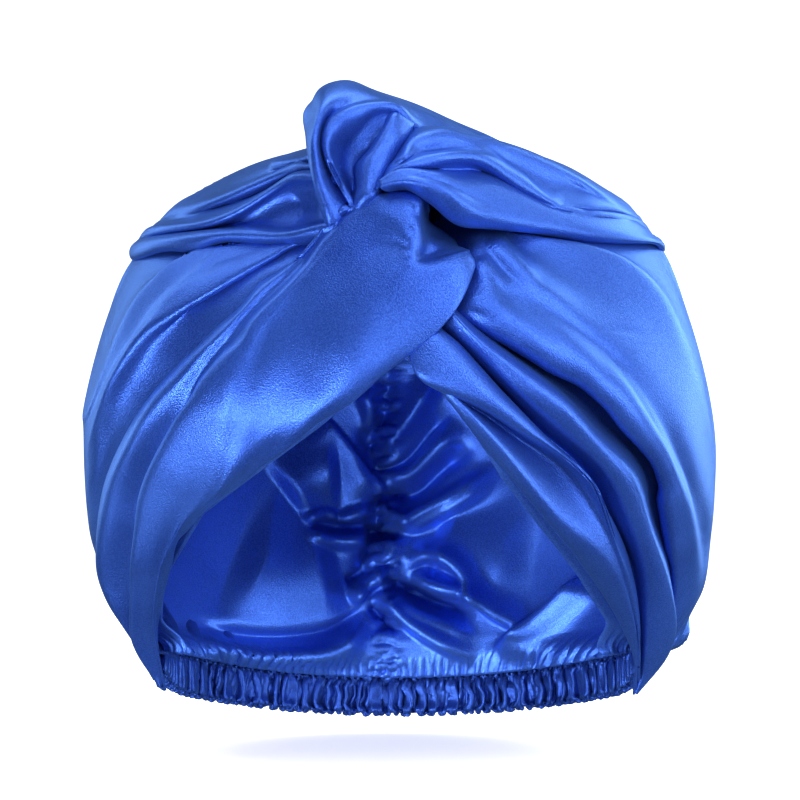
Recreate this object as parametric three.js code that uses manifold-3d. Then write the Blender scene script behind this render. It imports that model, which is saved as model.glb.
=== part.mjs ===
import * as THREE from 'three';
import Module from 'manifold-3d';
import { mergeVertices } from 'three/addons/utils/BufferGeometryUtils.js';

// Twist-front satin nightcap. Millimetres, +Z up. The origin is where the top of the wearer's head meets the
// lining, and the face opening looks along -Y. Left is -X.

const wasm = await Module();
wasm.setup();

// Driving dimensions
const bag = { width: 116, front: 104, back: 126, waist: -78, rise: 110, drop: 130, backDrop: 160 };
const roundness = 2.4; // exponent of the bag's rounded outline
const clothThick = 1.5;
const liningThick = 1.2;
const seamGap = 0.35;
const bandTip = { y: -6, z: -155 }; // where each front band meets the nape casing
const openingDraw = { depth: 0.8, power: 1.45 }; // how the front draws back towards the ears
const bodyFolds = { gathers: 2.2, count: 13, seam: 3.5, swell: 1.8, fan: 2.8 }; // fold depths of the bag
const liningFolds = { ruching: 3.4, spacing: 6.5, seam: 7 }; // ruching along the lining's centre seam
const cutter = { foot: -240, depth: 200, reach: 300 }; // sizes of the cutting solids
const setBack = { body: 2.5, lining: 3.5, rise: 0.5 }; // how far the hems overhang the opening's edge
const domeRows = { body: [52, 10], lining: [36, 12], crown: [40, 7], crowding: 1.7 }; // grids of the domes
const crownFolds = { lift: 3.6, fan: 2.6, around: 4.2, up: 6, atTwist: 10, twistReach: 0.45, lowerBehind: 10 };
const bandRows = { right: [15, 13], left: [19, 9], lobe: [13, 11] }; // grids of the lofted folds
const shoulderSeam = -8; // height of the over-wraps' lower edge
const casing = {
  wide: 89,
  deep: 112,
  high: 18,
  thick: 6,
  sag: 21,
  sagPower: 1.3,
  roundness: 0.85,
  turnIn: 24,
  puckers: 34,
  thin: 0.6,
  full: 1.15,
  sides: 8,
  squareness: 0.6,
};
const casingEase = { drawn: 14, inset: 2.4 }; // the height over which the bag draws in to the casing
const liningSet = { width: 111, front: 99.5, back: 118, rise: 78.6 };
const layer = clothThick + seamGap; // one sewn layer of cloth, from middle to middle

const satin = new THREE.MeshStandardMaterial({ color: 0x2f63d8, roughness: 0.36, metalness: 0.1 });
const satinInside = new THREE.MeshStandardMaterial({ color: 0x2a50bf, roughness: 0.42, metalness: 0.1 });
const satinRuched = new THREE.MeshStandardMaterial({ color: 0x2347b4, roughness: 0.42, metalness: 0.1 });

const clamp = (value, low, high) => Math.min(Math.max(value, low), high);
const blend = (from, to, share) => from + (to - from) * share;
const ease = (share) => {
  const s = clamp(share, 0, 1);
  return s * s * (3 - 2 * s);
};
const bump = (value, centre, reach) => Math.exp(-(((value - centre) / reach) ** 2));

// One smooth curve through the numbers of a row, at a place from 0 to 1.
function along(points, place) {
  const last = points.length - 1;
  const at = clamp(place, 0, 1) * last;
  const i = Math.min(Math.floor(at), last - 1);
  const s = at - i;
  const p = [-1, 0, 1, 2].map((k) => points[clamp(i + k, 0, last)]);
  return p[1].map((_, k) => {
    const [a, b, c, d] = p.map((q) => q[k]);
    return b + 0.5 * s * (c - a + s * (2 * a - 5 * b + 4 * c - d + s * (3 * (b - c) + d - a)));
  });
}

// How far the bag's outline has drawn in at a height, from 1 at its waist to 0 at its pole.
function drawIn(z, shape) {
  const reach = z > shape.waist ? shape.rise : shape.drop;
  const share = clamp(Math.abs(z - shape.waist) / reach, 0, 1);
  return (1 - share ** roundness) ** (1 / roundness);
}

// The bag's half width, front depth and back depth at a height.
function sizesAt(z, shape = bag) {
  const low = clamp((-60 - z) / 105, 0, 1); // the front draws back towards the ears lower down
  const side = drawIn(z, { ...bag, ...shape });
  const rear = drawIn(z, { ...bag, ...shape, drop: bag.backDrop });
  const front = (z > bag.waist ? side : 1) * (1 - openingDraw.depth * low ** openingDraw.power);
  return { wide: shape.width * side, front: shape.front * front, back: shape.back * rear };
}

// A point of the bag at an azimuth (0 in front, growing towards +X) and a height.
function bagPoint(azimuth, z, shape = bag) {
  const size = sizesAt(z, shape);
  const c = Math.cos(azimuth);
  const depth = blend(size.front, size.back, ease((0.25 - c) / 0.5));
  return new THREE.Vector3(size.wide * Math.sin(azimuth), -depth * c, z);
}

// The bag's outward direction there.
function bagNormal(azimuth, z, shape = bag) {
  const step = 0.01;
  const round = bagPoint(azimuth + step, z, shape).sub(bagPoint(azimuth - step, z, shape));
  const top = bag.waist + (shape.rise ?? bag.rise);
  const up = bagPoint(azimuth, Math.min(z + 1, top), shape).sub(bagPoint(azimuth, z - 1, shape));
  const normal = round.cross(up);
  return normal.lengthSq() > 1e-9 ? normal.normalize() : new THREE.Vector3(0, 0, 1);
}

// A point over the front of the bag, from where it stands in the front view and how far it is lifted off.
function overBag([x, z, lift]) {
  const size = sizesAt(z);
  const azimuth = Math.asin(clamp(x / size.wide, -1, 1));
  return bagPoint(azimuth, z).addScaledVector(bagNormal(azimuth, z), lift);
}

// A grid with its four edges moved outwards along the cloth.
function grown(grid, by) {
  const rows = grid.length;
  const cols = grid[0].length;
  return grid.map((line, i) => line.map((point, j) => {
    const moved = point.clone();
    const inner = grid[clamp(i, 1, rows - 2)][clamp(j, 1, cols - 2)];
    return inner === point ? moved : moved.addScaledVector(point.clone().sub(inner).normalize(), by);
  }));
}

// A closed wall of cloth round a grid of middle points. A ring joins its last row to its first; a cap's last
// column is one point.
function wall(grid, thick, { ring = false, cap = false } = {}) {
  const rows = grid.length;
  const cols = grid[0].length;
  const row = (i) => (ring ? (i + rows) % rows : clamp(i, 0, rows - 1));
  const col = (j) => clamp(j, 0, cols - 1);
  const capCol = cols - 1;
  const positions = [];
  const index = { 1: [], [-1]: [] };
  for (const side of [1, -1]) {
    for (let i = 0; i < rows; i++) {
      index[side].push([]);
      for (let j = 0; j < cols; j++) {
        if (cap && j === capCol && i > 0) {
          index[side][i].push(index[side][0][capCol]);
          continue;
        }
        const across = grid[row(i + 1)][j].clone().sub(grid[row(i - 1)][j]);
        const on = grid[i][col(j + 1)].clone().sub(grid[i][col(j - 1)]);
        let normal = across.cross(on).normalize();
        if (cap && j === capCol) normal = new THREE.Vector3(0, 0, 1);
        const p = grid[i][j].clone().addScaledVector(normal, (side * thick) / 2);
        index[side][i].push(positions.length / 3);
        positions.push(p.x, p.y, p.z);
      }
    }
  }
  const faces = [];
  const triangle = (a, b, c) => {
    if (a !== b && b !== c && c !== a) faces.push(a, b, c);
  };
  const quad = (a, b, c, d) => {
    triangle(a, b, c);
    triangle(a, c, d);
  };
  const spans = ring ? rows : rows - 1;
  for (let i = 0; i < spans; i++) {
    const n = row(i + 1);
    for (let j = 0; j < cols - 1; j++) {
      quad(index[1][i][j], index[1][n][j], index[1][n][j + 1], index[1][i][j + 1]);
      quad(index[-1][i][j], index[-1][i][j + 1], index[-1][n][j + 1], index[-1][n][j]);
    }
    quad(index[1][i][0], index[-1][i][0], index[-1][n][0], index[1][n][0]);
    if (!cap) quad(index[1][i][capCol], index[1][n][capCol], index[-1][n][capCol], index[-1][i][capCol]);
  }
  if (!ring) {
    for (let j = 0; j < cols - 1; j++) {
      const e = rows - 1;
      quad(index[1][0][j], index[1][0][j + 1], index[-1][0][j + 1], index[-1][0][j]);
      quad(index[1][e][j], index[-1][e][j], index[-1][e][j + 1], index[1][e][j + 1]);
    }
  }
  const geometry = new THREE.BufferGeometry();
  geometry.setAttribute('position', new THREE.Float32BufferAttribute(positions, 3));
  geometry.setIndex(faces);
  return solid(geometry);
}

// A geometry as a solid for joining and cutting, turned so that its faces point out.
function solid(geometry) {
  const shape = geometry.clone();
  shape.deleteAttribute('normal');
  shape.deleteAttribute('uv');
  const merged = mergeVertices(shape, 1e-4);
  const vertProperties = new Float32Array(merged.attributes.position.array);
  const triVerts = new Uint32Array(merged.index.array);
  let volume = 0;
  const corner = (k) => new THREE.Vector3().fromArray(vertProperties, 3 * triVerts[k]);
  for (let k = 0; k < triVerts.length; k += 3) volume += corner(k).dot(corner(k + 1).cross(corner(k + 2)));
  if (volume < 0) triVerts.reverse();
  return new wasm.Manifold(new wasm.Mesh({ numProp: 3, vertProperties, triVerts }));
}

// A named mesh of the largest body of a solid.
function mesh(name, shape, material) {
  const bodies = shape.decompose().sort((a, b) => b.volume() - a.volume());
  const { vertProperties, triVerts } = bodies[0].getMesh();
  const geometry = new THREE.BufferGeometry();
  geometry.setAttribute('position', new THREE.Float32BufferAttribute(vertProperties, 3));
  geometry.setIndex(Array.from(triVerts));
  geometry.computeVertexNormals();
  const made = new THREE.Mesh(geometry, material);
  made.name = name;
  return made;
}

// A grid of points lofted smoothly across guide lines, each guide a row of points.
function loft(guides, [rows, cols], place = overBag) {
  return Array.from({ length: rows }, (_, i) => {
    const crossing = guides.map((guide) => along(guide, i / (rows - 1)));
    return Array.from({ length: cols }, (_, j) => place(along(crossing, j / (cols - 1))));
  });
}

// The two edges of the face opening in the front view, from its top to the band tips: x, z
const hemLeft = [[2, -47], [-27, -71], [-69, -102], [-85, -127], [-88, -156]];
const hemRight = [[5, -48], [15, -57], [35, -89], [62, -123], [83, -155]];

// The prism that the face opening takes out of the bag, set back from the hems.
function openingPrism(back) {
  const outline = new THREE.Shape();
  const edge = (hem, side) => Array.from({ length: 13 }, (_, k) => {
    const [x, z] = along(hem, k / 12);
    return [x + side * back, z + back * setBack.rise];
  });
  const left = edge(hemLeft, -1);
  const right = edge(hemRight, 1).reverse();
  outline.moveTo(left[12][0], cutter.foot);
  outline.lineTo(right[0][0], cutter.foot);
  for (const [x, z] of [...right, ...left]) outline.lineTo(x, z);
  const geometry = new THREE.ExtrudeGeometry(outline, { depth: cutter.depth, bevelEnabled: false });
  geometry.rotateX(Math.PI / 2);
  geometry.translate(0, bandTip.y, 0);
  return solid(geometry);
}

// Height of the casing's upper edge at an azimuth: lowest at the nape, and level in front of the tips.
function casingTop(azimuth) {
  const behind = Math.max(0, -Math.cos(azimuth));
  return bandTip.z - casing.sag * behind ** casing.sagPower;
}

// The line that the bag is gathered to: the middle of the casing, drawn on in front of its ends.
function gatherLine(azimuth, inset) {
  const c = Math.cos(azimuth);
  const depth = c < 0 ? (casing.deep - 1 - inset) * (-c) ** casing.roundness : -casing.turnIn * c;
  return new THREE.Vector3((casing.wide - inset) * Math.sin(azimuth), bandTip.y + 1 + depth, casingTop(azimuth));
}

// A dome of cloth round the whole head, closed at its top, from the casing up. Its folds are given as an
// outward push at each azimuth and height.
function dome(shape, thick, [rows, cols], push, inset = 0) {
  const top = bag.waist + shape.rise;
  const grid = Array.from({ length: rows }, (_, i) => {
    const azimuth = (i / rows) * 2 * Math.PI - Math.PI;
    const foot = casingTop(azimuth);
    const heights = [foot, foot + casingEase.drawn * 0.3, foot + casingEase.drawn * 0.7];
    for (let j = 0; j < cols; j++) {
      heights.push(top - (top - foot - casingEase.drawn) * (1 - j / (cols - 1)) ** domeRows.crowding);
    }
    return heights.map((z) => {
      const point = bagPoint(azimuth, z, shape).addScaledVector(bagNormal(azimuth, z, shape), push(azimuth, z));
      const drawn = 1 - (z - foot) / casingEase.drawn;
      return drawn > 0 ? point.lerp(gatherLine(azimuth, inset).setZ(z), ease(drawn)) : point;
    });
  });
  return wall(grid, thick, { ring: true, cap: true });
}

// The soft folds of the bag: gathers that fan up from the casing, and the dent of the seam at the centre back.
function bodyPush(azimuth, z) {
  const behind = ease((-Math.cos(azimuth) + 0.1) / 0.6);
  const low = ease((-90 - z) / 70);
  const gathers = bodyFolds.gathers * Math.cos(azimuth * bodyFolds.count) * low * behind;
  const seam = -bodyFolds.seam * bump(Math.abs(azimuth), Math.PI, 0.13) * ease((10 - z) / 30);
  const swell = bodyFolds.swell * Math.sin(azimuth * 5 + z / 26) * ease((20 - z) / 40) * behind;
  const fan = Math.atan2(-z - 8, 105 * Math.abs(azimuth)); // the slope of the line to the twist
  const beside = ease(Math.abs(azimuth)) * ease((2.3 - Math.abs(azimuth)) / 1.2);
  const folds = bodyFolds.fan * Math.cos(fan * bodyFolds.count) * beside;
  return gathers + seam + swell + folds * ease((-10 - z) / 30) * ease((z + 160) / 50);
}

// The lining hangs closer, and its seam at the centre back is ruched into cross folds.
function liningPush(azimuth, z) {
  const side = Math.PI - Math.abs(azimuth);
  const seam = Math.exp(-((side / 0.5) ** 2)) * ease((-8 - z) / 30);
  const ruching = liningFolds.ruching * Math.sin(z / liningFolds.spacing + side * 3) * seam;
  return ruching - liningFolds.seam * seam;
}

const body = dome(bag, clothThick, domeRows.body, bodyPush).subtract(openingPrism(setBack.body));
const inner = dome(liningSet, liningThick, domeRows.lining, liningPush, casingEase.inset).subtract(
  openingPrism(setBack.lining),
);

// The elastic casing: a flattened tube round the nape, puckered along its length.
function casingSolid(swell = 0) {
  const steps = casing.puckers * 2;
  const around = casing.sides;
  const half = Math.PI / 2;
  const profile = Array.from({ length: around }, (_, k) => {
    const turn = ((k + 0.5) / around) * 2 * Math.PI;
    const squared = (value) => Math.sign(value) * Math.abs(value) ** casing.squareness;
    return [squared(Math.cos(turn)), squared(Math.sin(turn))];
  });
  const positions = [];
  for (let i = 0; i <= steps; i++) {
    const turn = blend(-half, half, i / steps);
    const away = Math.cos(turn);
    const centre = new THREE.Vector3(
      casing.wide * Math.sin(turn),
      bandTip.y + 1 + (casing.deep - 1) * away ** casing.roundness,
      bandTip.z - casing.high / 2 - casing.sag * away ** casing.sagPower - seamGap,
    );
    const outward = new THREE.Vector3(Math.sin(turn), away, 0).normalize();
    const pucker = i % 2 ? casing.thin : casing.full;
    for (const [out, up] of profile) {
      const p = centre.clone().addScaledVector(outward, out * ((casing.thick / 2) * pucker + swell));
      positions.push(p.x, p.y, p.z + up * (casing.high / 2 + swell));
    }
  }
  const faces = [];
  const at = (i, k) => i * around + (k % around);
  for (let i = 0; i < steps; i++) {
    for (let k = 0; k < around; k++) {
      faces.push(at(i, k), at(i, k + 1), at(i + 1, k + 1), at(i, k), at(i + 1, k + 1), at(i + 1, k));
    }
  }
  for (let k = 1; k < around - 1; k++) {
    faces.push(at(0, 0), at(0, k + 1), at(0, k), at(steps, 0), at(steps, k), at(steps, k + 1));
  }
  const geometry = new THREE.BufferGeometry();
  geometry.setAttribute('position', new THREE.Float32BufferAttribute(positions, 3));
  geometry.setIndex(faces);
  return solid(geometry);
}

// Front band on the +X side, from its tip up to the twist: x, z, lift off the bag. One guide for the hem, and
// one for each fold and hollow after it.
const bandRightGuides = [
  [[84, -170, 2.4], [62, -123, 2.6], [35, -89, 3.5], [15, -57, 5], [2, -42, 5]], // hem
  [[87, -170, 5], [79, -117, 6.5], [57, -82, 8.5], [25, -64, 10], [5, -36, 8]], // first fold
  [[89, -167, 2.6], [84, -114, 2.8], [62, -78, 4], [33, -60, 5.5], [8, -30, 5]],
  [[92, -163, 4.2], [90, -107, 6], [71, -72, 8], [42, -56, 9], [12, -26, 6]], // second fold
  [[94, -160, 2.4], [95, -101, 2.6], [80, -64, 3.6], [50, -48, 4.6], [15, -21, 4]],
  [[97, -155, 3.2], [100, -97, 4.2], [87, -60, 5.6], [56, -42, 6], [18, -15, 4]], // outer fold
  [[100, -151, 2.1], [104, -93, 2.2], [92, -54, 2.3], [62, -34, 2.4], [22, -10, 2.4]],
];

// Front band on the -X side, in the same way; its upper end crosses the other band as the tongue.
const bandLeftGuides = [
  [[-88, -166, 2.4], [-85, -127, 2.6], [-69, -102, 4], [-27, -71, 7], [2, -48, 13], [18, -33, 17]], // hem
  [[-90, -164, 4.6], [-91, -119, 6], [-77, -89, 8], [-38, -58, 11], [2, -34, 18], [24, -22, 21]],
  [[-92, -161, 6.6], [-95, -108, 9], [-80, -69, 10], [-45, -42, 12], [-2, -20, 19], [25, -13, 20]], // ridge
  [[-95, -156, 4], [-108, -101, 5], [-90, -59, 6], [-55, -30, 9], [-8, -6, 18], [20, -4, 18]], // outer fold
  [[-99, -150, 2.1], [-108, -92, 2.2], [-88, -50, 2.4], [-57, -20, 4], [-12, 4, 13], [8, 5, 15]],
];

// The fold that stands above the crown: x, y, z. It is draped over a ridge that runs up and back to +X.
const lobeGuides = [
  [[-27, -106, -4], [-37, -84, 2], [-34, -58, 15], [-4, -36, 25], [40, -44, 18]], // foot behind
  [[-28, -108, -2], [-37, -84, 24], [-27, -62, 40], [6, -48, 40], [40, -54, 29]],
  [[-27, -110, 0], [-31, -92, 32], [-19, -80, 48], [10, -72, 40], [38, -68, 29]], // ridge
  [[-22, -114, 2], [-23, -105, 22], [-8, -98, 36], [14, -90, 29], [38, -84, 19]],
  [[-16, -112, 3], [-8, -104, 8], [6, -96, 12], [24, -88, 9], [42, -79, 3]], // foot in front
];

const upright = ([x, y, z]) => new THREE.Vector3(x, y, z);
const bandRightGrid = loft(bandRightGuides, bandRows.right);
const bandLeftGrid = loft(bandLeftGuides, bandRows.left);
const lobeGrid = loft(lobeGuides, bandRows.lobe, upright);

// The two over-wraps: one dome over the crown, with folds that fan out from the twist, parted down the middle.
function crown(thick) {
  const top = bag.waist + bag.rise;
  const [rows, cols] = domeRows.crown;
  const grid = Array.from({ length: rows }, (_, i) => {
    const azimuth = (i / rows) * 2 * Math.PI - Math.PI;
    const foot = shoulderSeam - crownFolds.lowerBehind * ease((-Math.cos(azimuth) - 0.2) / 0.8);
    return Array.from({ length: cols }, (_, j) => {
      const share = 1 - j / (cols - 1);
      const z = top - (top - foot) * share ** domeRows.crowding;
      const fan = Math.sin(crownFolds.around * Math.abs(azimuth) + crownFolds.up * share);
      const atTwist = crownFolds.atTwist * bump(azimuth, 0, crownFolds.twistReach) * ease(share * 2);
      const folds = (crownFolds.lift + crownFolds.fan * fan) * ease(share * 3) * ease((1 - share) * 3.5);
      const lift = layer + 0.2 + folds + atTwist;
      return bagPoint(azimuth, z).addScaledVector(bagNormal(azimuth, z), lift);
    });
  });
  return wall(grid, thick, { ring: true, cap: true });
}

// Everything on one side of the middle, as a block to part the crown with.
function halfSpace(side) {
  const geometry = new THREE.BoxGeometry(cutter.reach, 2 * cutter.reach, 2 * cutter.reach);
  geometry.translate((side * (cutter.reach + seamGap)) / 2, 0, 0);
  return solid(geometry);
}

const swollen = clothThick + 2 * seamGap;
const edgeRoom = 2 * seamGap;
const roomFor = {
  body: dome(bag, swollen, domeRows.body, bodyPush),
  casing: casingSolid(seamGap),
  bandRight: wall(grown(bandRightGrid, edgeRoom), swollen),
  bandLeft: wall(grown(bandLeftGrid, edgeRoom), swollen),
  lobe: wall(grown(lobeGrid, edgeRoom), swollen),
};

const lining = inner.subtract(roomFor.body).subtract(roomFor.casing).subtract(roomFor.bandLeft);
const capBody = body.subtract(roomFor.casing);
const bandLeft = wall(bandLeftGrid, clothThick).subtract(roomFor.body).subtract(roomFor.casing);
const bandRight = wall(bandRightGrid, clothThick)
  .subtract(roomFor.body)
  .subtract(roomFor.casing)
  .subtract(roomFor.bandLeft);
const lobe = wall(lobeGrid, clothThick).subtract(roomFor.body).subtract(roomFor.bandLeft).subtract(roomFor.bandRight);
const overWraps = crown(clothThick)
  .subtract(roomFor.body)
  .subtract(roomFor.bandLeft)
  .subtract(roomFor.bandRight)
  .subtract(roomFor.lobe);

const nightcap = new THREE.Group();
nightcap.add(mesh('cap_body', capBody, satin));
nightcap.add(mesh('lining', lining, satinInside));
nightcap.add(mesh('nape_casing', casingSolid(), satinRuched));
nightcap.add(mesh('band_right', bandRight, satin));
nightcap.add(mesh('band_left', bandLeft, satin));
nightcap.add(mesh('over_wrap_left', overWraps.intersect(halfSpace(-1)), satin));
nightcap.add(mesh('over_wrap_right', overWraps.intersect(halfSpace(1)), satin));
nightcap.add(mesh('twist_lobe', lobe, satin));

export default nightcap;
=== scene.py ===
import math
import bpy
import bmesh
import numpy as np
from mathutils import Matrix, Vector


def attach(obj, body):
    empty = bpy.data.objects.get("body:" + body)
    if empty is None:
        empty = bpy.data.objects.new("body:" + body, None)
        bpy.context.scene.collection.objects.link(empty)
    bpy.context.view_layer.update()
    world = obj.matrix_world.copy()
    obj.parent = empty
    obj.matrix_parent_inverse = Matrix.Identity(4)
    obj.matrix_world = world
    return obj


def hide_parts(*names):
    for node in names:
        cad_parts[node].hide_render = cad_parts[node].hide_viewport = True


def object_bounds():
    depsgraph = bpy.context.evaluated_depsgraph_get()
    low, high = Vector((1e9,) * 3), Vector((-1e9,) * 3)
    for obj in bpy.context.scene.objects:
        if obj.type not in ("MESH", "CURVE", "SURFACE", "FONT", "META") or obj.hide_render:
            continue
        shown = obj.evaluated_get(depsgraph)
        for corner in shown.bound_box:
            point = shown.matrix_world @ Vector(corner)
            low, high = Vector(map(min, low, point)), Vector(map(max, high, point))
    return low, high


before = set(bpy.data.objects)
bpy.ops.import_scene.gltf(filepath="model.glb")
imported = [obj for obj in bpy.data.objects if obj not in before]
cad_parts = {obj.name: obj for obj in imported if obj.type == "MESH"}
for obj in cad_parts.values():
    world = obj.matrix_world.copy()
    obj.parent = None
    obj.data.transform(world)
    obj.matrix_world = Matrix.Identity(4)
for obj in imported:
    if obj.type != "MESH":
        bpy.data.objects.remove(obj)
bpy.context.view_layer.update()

mm = 0.001
print("frame loaded")

# Tables and formulas are in millimetres, but flat, area, bumpDepth, mergeUnder, the lights and the studio are
# in metres. The face opening looks along -Y, and the head's top is at the origin.

bag = {"width": 116, "front": 104, "back": 126, "waist": -78, "rise": 110, "drop": 130, "backDrop": 160,
       "roundness": 2.4, "openSpan": 105, "openDraw": 0.8}
inside = dict(bag, width=111, front=99.5, back=118, rise=78.6)
nape = {"wide": 88, "deep": 112, "frontY": -5, "topZ": -155, "sag": 18.5, "drawn": 14}


def ease(share):
    s = np.clip(share, 0, 1)
    return s * s * (3 - 2 * s)


def hill(distance, reach):
    return np.exp(-(distance / reach) ** 2)


def drawIn(z, shape, drop):  # how far the outline has drawn in, from 1 at the waist to 0 at the pole
    reach = np.where(z > shape["waist"], shape["rise"], drop)
    share = np.clip(np.abs(z - shape["waist"]) / reach, 0, 1)
    return (1 - share ** shape["roundness"]) ** (1 / shape["roundness"])


def bagSizes(z, shape=bag):
    side = drawIn(z, shape, shape["drop"])
    rear = drawIn(z, shape, shape["backDrop"])
    low = np.clip((-60 - z) / shape["openSpan"], 0, 1)  # the front draws back to the ears lower down
    front = np.where(z > shape["waist"], side, 1) * (1 - shape["openDraw"] * low ** 1.45)
    return shape["width"] * side, shape["front"] * front, shape["back"] * rear


def bagPoint(azimuth, z, shape=bag):
    wide, front, back = bagSizes(z, shape)
    c = np.cos(azimuth)
    depth = front + (back - front) * ease((0.25 - c) / 0.5)
    return np.stack([wide * np.sin(azimuth), -depth * c, z + 0 * azimuth], -1)


def levelOut(azimuth, z, shape):  # the level direction out of the bag
    turn = 0.01
    ahead = bagPoint(azimuth + turn, z, shape) - bagPoint(azimuth - turn, z, shape)
    out = np.stack([ahead[..., 1], -ahead[..., 0], 0 * ahead[..., 0]], -1)
    return out / np.maximum(np.linalg.norm(out, axis=-1, keepdims=True), 1e-9)


def offBag(rows):  # points given as x, z and how far they stand off the bag's front
    x, z, out = np.array(rows, float).T
    wide, front, back = bagSizes(z)
    azimuth = np.arcsin(np.clip(x / (wide + out), -0.9999, 0.9999))
    c = np.cos(azimuth)
    depth = front + (back - front) * ease((0.25 - c) / 0.5)
    return np.stack([x, -(depth + out) * c, z], -1)


def domeTop(x, y):  # height of the crown over a point of the top view
    depth = np.where(y < 0, bag["front"], bag["back"])
    r = np.clip(np.sqrt((x / bag["width"]) ** 2 + (y / depth) ** 2), 0, 1)
    return bag["waist"] + bag["rise"] * (1 - r ** bag["roundness"]) ** (1 / bag["roundness"])


def gatherLine(azimuth):  # the line round the nape that the bag is gathered to
    c = np.cos(azimuth)
    behind = np.maximum(0, -c)
    depth = np.where(c < 0, (nape["deep"] - 1) * behind ** 0.85, -24 * c)
    z = nape["topZ"] - nape["sag"] * behind ** 1.3
    return np.stack([nape["wide"] * np.sin(azimuth), nape["frontY"] + depth, z], -1)


# Smooth curves and lofts

def smoothThrough(knots, values, places):  # natural cubic spline, values along the first axis
    n = len(knots)
    h = np.diff(knots)
    flat = values.reshape(n, -1)
    bend = np.zeros((n, n))
    pull = np.zeros_like(flat)
    bend[0, 0] = bend[-1, -1] = 1
    for i in range(1, n - 1):
        bend[i, i - 1:i + 2] = h[i - 1], 2 * (h[i - 1] + h[i]), h[i]
        pull[i] = 6 * ((flat[i + 1] - flat[i]) / h[i] - (flat[i] - flat[i - 1]) / h[i - 1])
    second = np.linalg.solve(bend, pull)
    i = np.clip(np.searchsorted(knots, places, side="right") - 1, 0, n - 2)
    a = (knots[i + 1] - places)[:, None]
    b = (places - knots[i])[:, None]
    w = h[i][:, None]
    out = (second[i] * a ** 3 + second[i + 1] * b ** 3) / (6 * w)
    out += (flat[i] / w - second[i] * w / 6) * a + (flat[i + 1] / w - second[i + 1] * w / 6) * b
    return out.reshape((len(places),) + values.shape[1:])


# A line resampled at even steps of its length, or crowded towards its end (below 0, towards its start)
def evenly(line, count, crowd=0):
    steps = np.linalg.norm(np.diff(line, axis=0), axis=1)
    length = np.concatenate([[0], np.cumsum(np.maximum(steps, 1e-6))])
    fine = smoothThrough(length, line, np.linspace(0, length[-1], 12 * len(line)))
    walked = np.concatenate([[0], np.cumsum(np.linalg.norm(np.diff(fine, axis=0), axis=1))])
    share = np.linspace(0, 1, count)
    places = walked[-1] * (share + crowd * share * (1 - share))
    return np.stack([np.interp(places, walked, fine[:, k]) for k in range(line.shape[1])], 1)


def loft(lines, columns, rows, crowd=0):  # grid[row, column]: rows run along the lines, columns across them
    drawn = np.stack([evenly(line, rows, crowd) for line in lines])
    apart = np.linalg.norm(np.diff(drawn, axis=0), axis=2).mean(axis=1)
    knots = np.concatenate([[0], np.cumsum(apart)])
    grid = smoothThrough(knots, drawn, np.linspace(0, knots[-1], columns))
    return grid.transpose(1, 0, 2)


def outwards(grid):  # unit normals of a grid of points
    along = np.gradient(grid, axis=0)
    across = np.gradient(grid, axis=1)
    normal = np.cross(across, along)
    return normal / np.maximum(np.linalg.norm(normal, axis=2, keepdims=True), 1e-9)


def unitGrid(rows, columns):  # v along the rows' axis and u along the columns' axis, both from 0 to 1
    return np.meshgrid(np.linspace(0, 1, rows), np.linspace(0, 1, columns), indexing="ij")


def pinnedRim(rows, columns):  # 1 on the outer rows and columns, which settling leaves in place
    pinned = np.zeros((rows, columns))
    pinned[0] = pinned[-1] = 1
    pinned[:, 0] = pinned[:, -1] = 1
    return pinned


def ripples(shape, across, along, seed):  # smooth random waves, about -1 to 1, over a grid
    count = 26
    draw = np.random.default_rng(seed)
    v, u = unitGrid(*shape)
    total = np.zeros(shape)
    for _ in range(count):
        fu, fv = draw.normal(0, across), draw.normal(0, along)
        total += np.sin(2 * math.pi * (fu * u + fv * v) + draw.uniform(0, 2 * math.pi))
    return total / math.sqrt(count)


def tighten(point, free, rest, a, b, strength):  # draws pairs of points towards their resting distance
    apart = point[b] - point[a]
    length = np.sqrt(np.einsum("ijk,ijk->ij", apart, apart))
    move = strength * (length - rest) / np.maximum(length * (free[a] + free[b]), 1e-9)
    point[a] += apart * (move * free[a])[..., None]
    point[b] -= apart * (move * free[b])[..., None]


def pairsOf(shape, step):  # slices that pair every point with the one a step away, without overlaps
    pairs = []
    for axis in (0, 1):
        for start in range(2 * step):
            if shape[axis] - step <= start:
                continue
            a, b = [slice(None)] * 2, [slice(None)] * 2
            last = shape[axis] - step
            a[axis] = slice(start, last, 2 * step)
            b[axis] = slice(start + step, last + step, 2 * step)
            pairs.append((axis, tuple(a), tuple(b)))
    return pairs


def refine(values):  # doubles a grid's points smoothly along both axes
    for axis in (0, 1):
        v = np.moveaxis(values, axis, 0)
        ends = np.concatenate([v[:1], v, v[-1:]])
        middle = (9 * (ends[1:-2] + ends[2:-1]) - ends[:-3] - ends[3:]) / 16
        out = np.empty((2 * len(v) - 1,) + v.shape[1:])
        out[::2], out[1::2] = v, middle
        values = np.moveaxis(out, 0, axis)
    return values


# Cloth settling: the sheet is given extra length and buckles, first coarsely and then finer. It stays between
# low and high off its home, and hold draws it back there. The push starts the folds, and the pinned stay put.
settling = {"diagonal": 0.25, "drift": 0.85}  # pull along the diagonals, and how much of a move carries on


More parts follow.
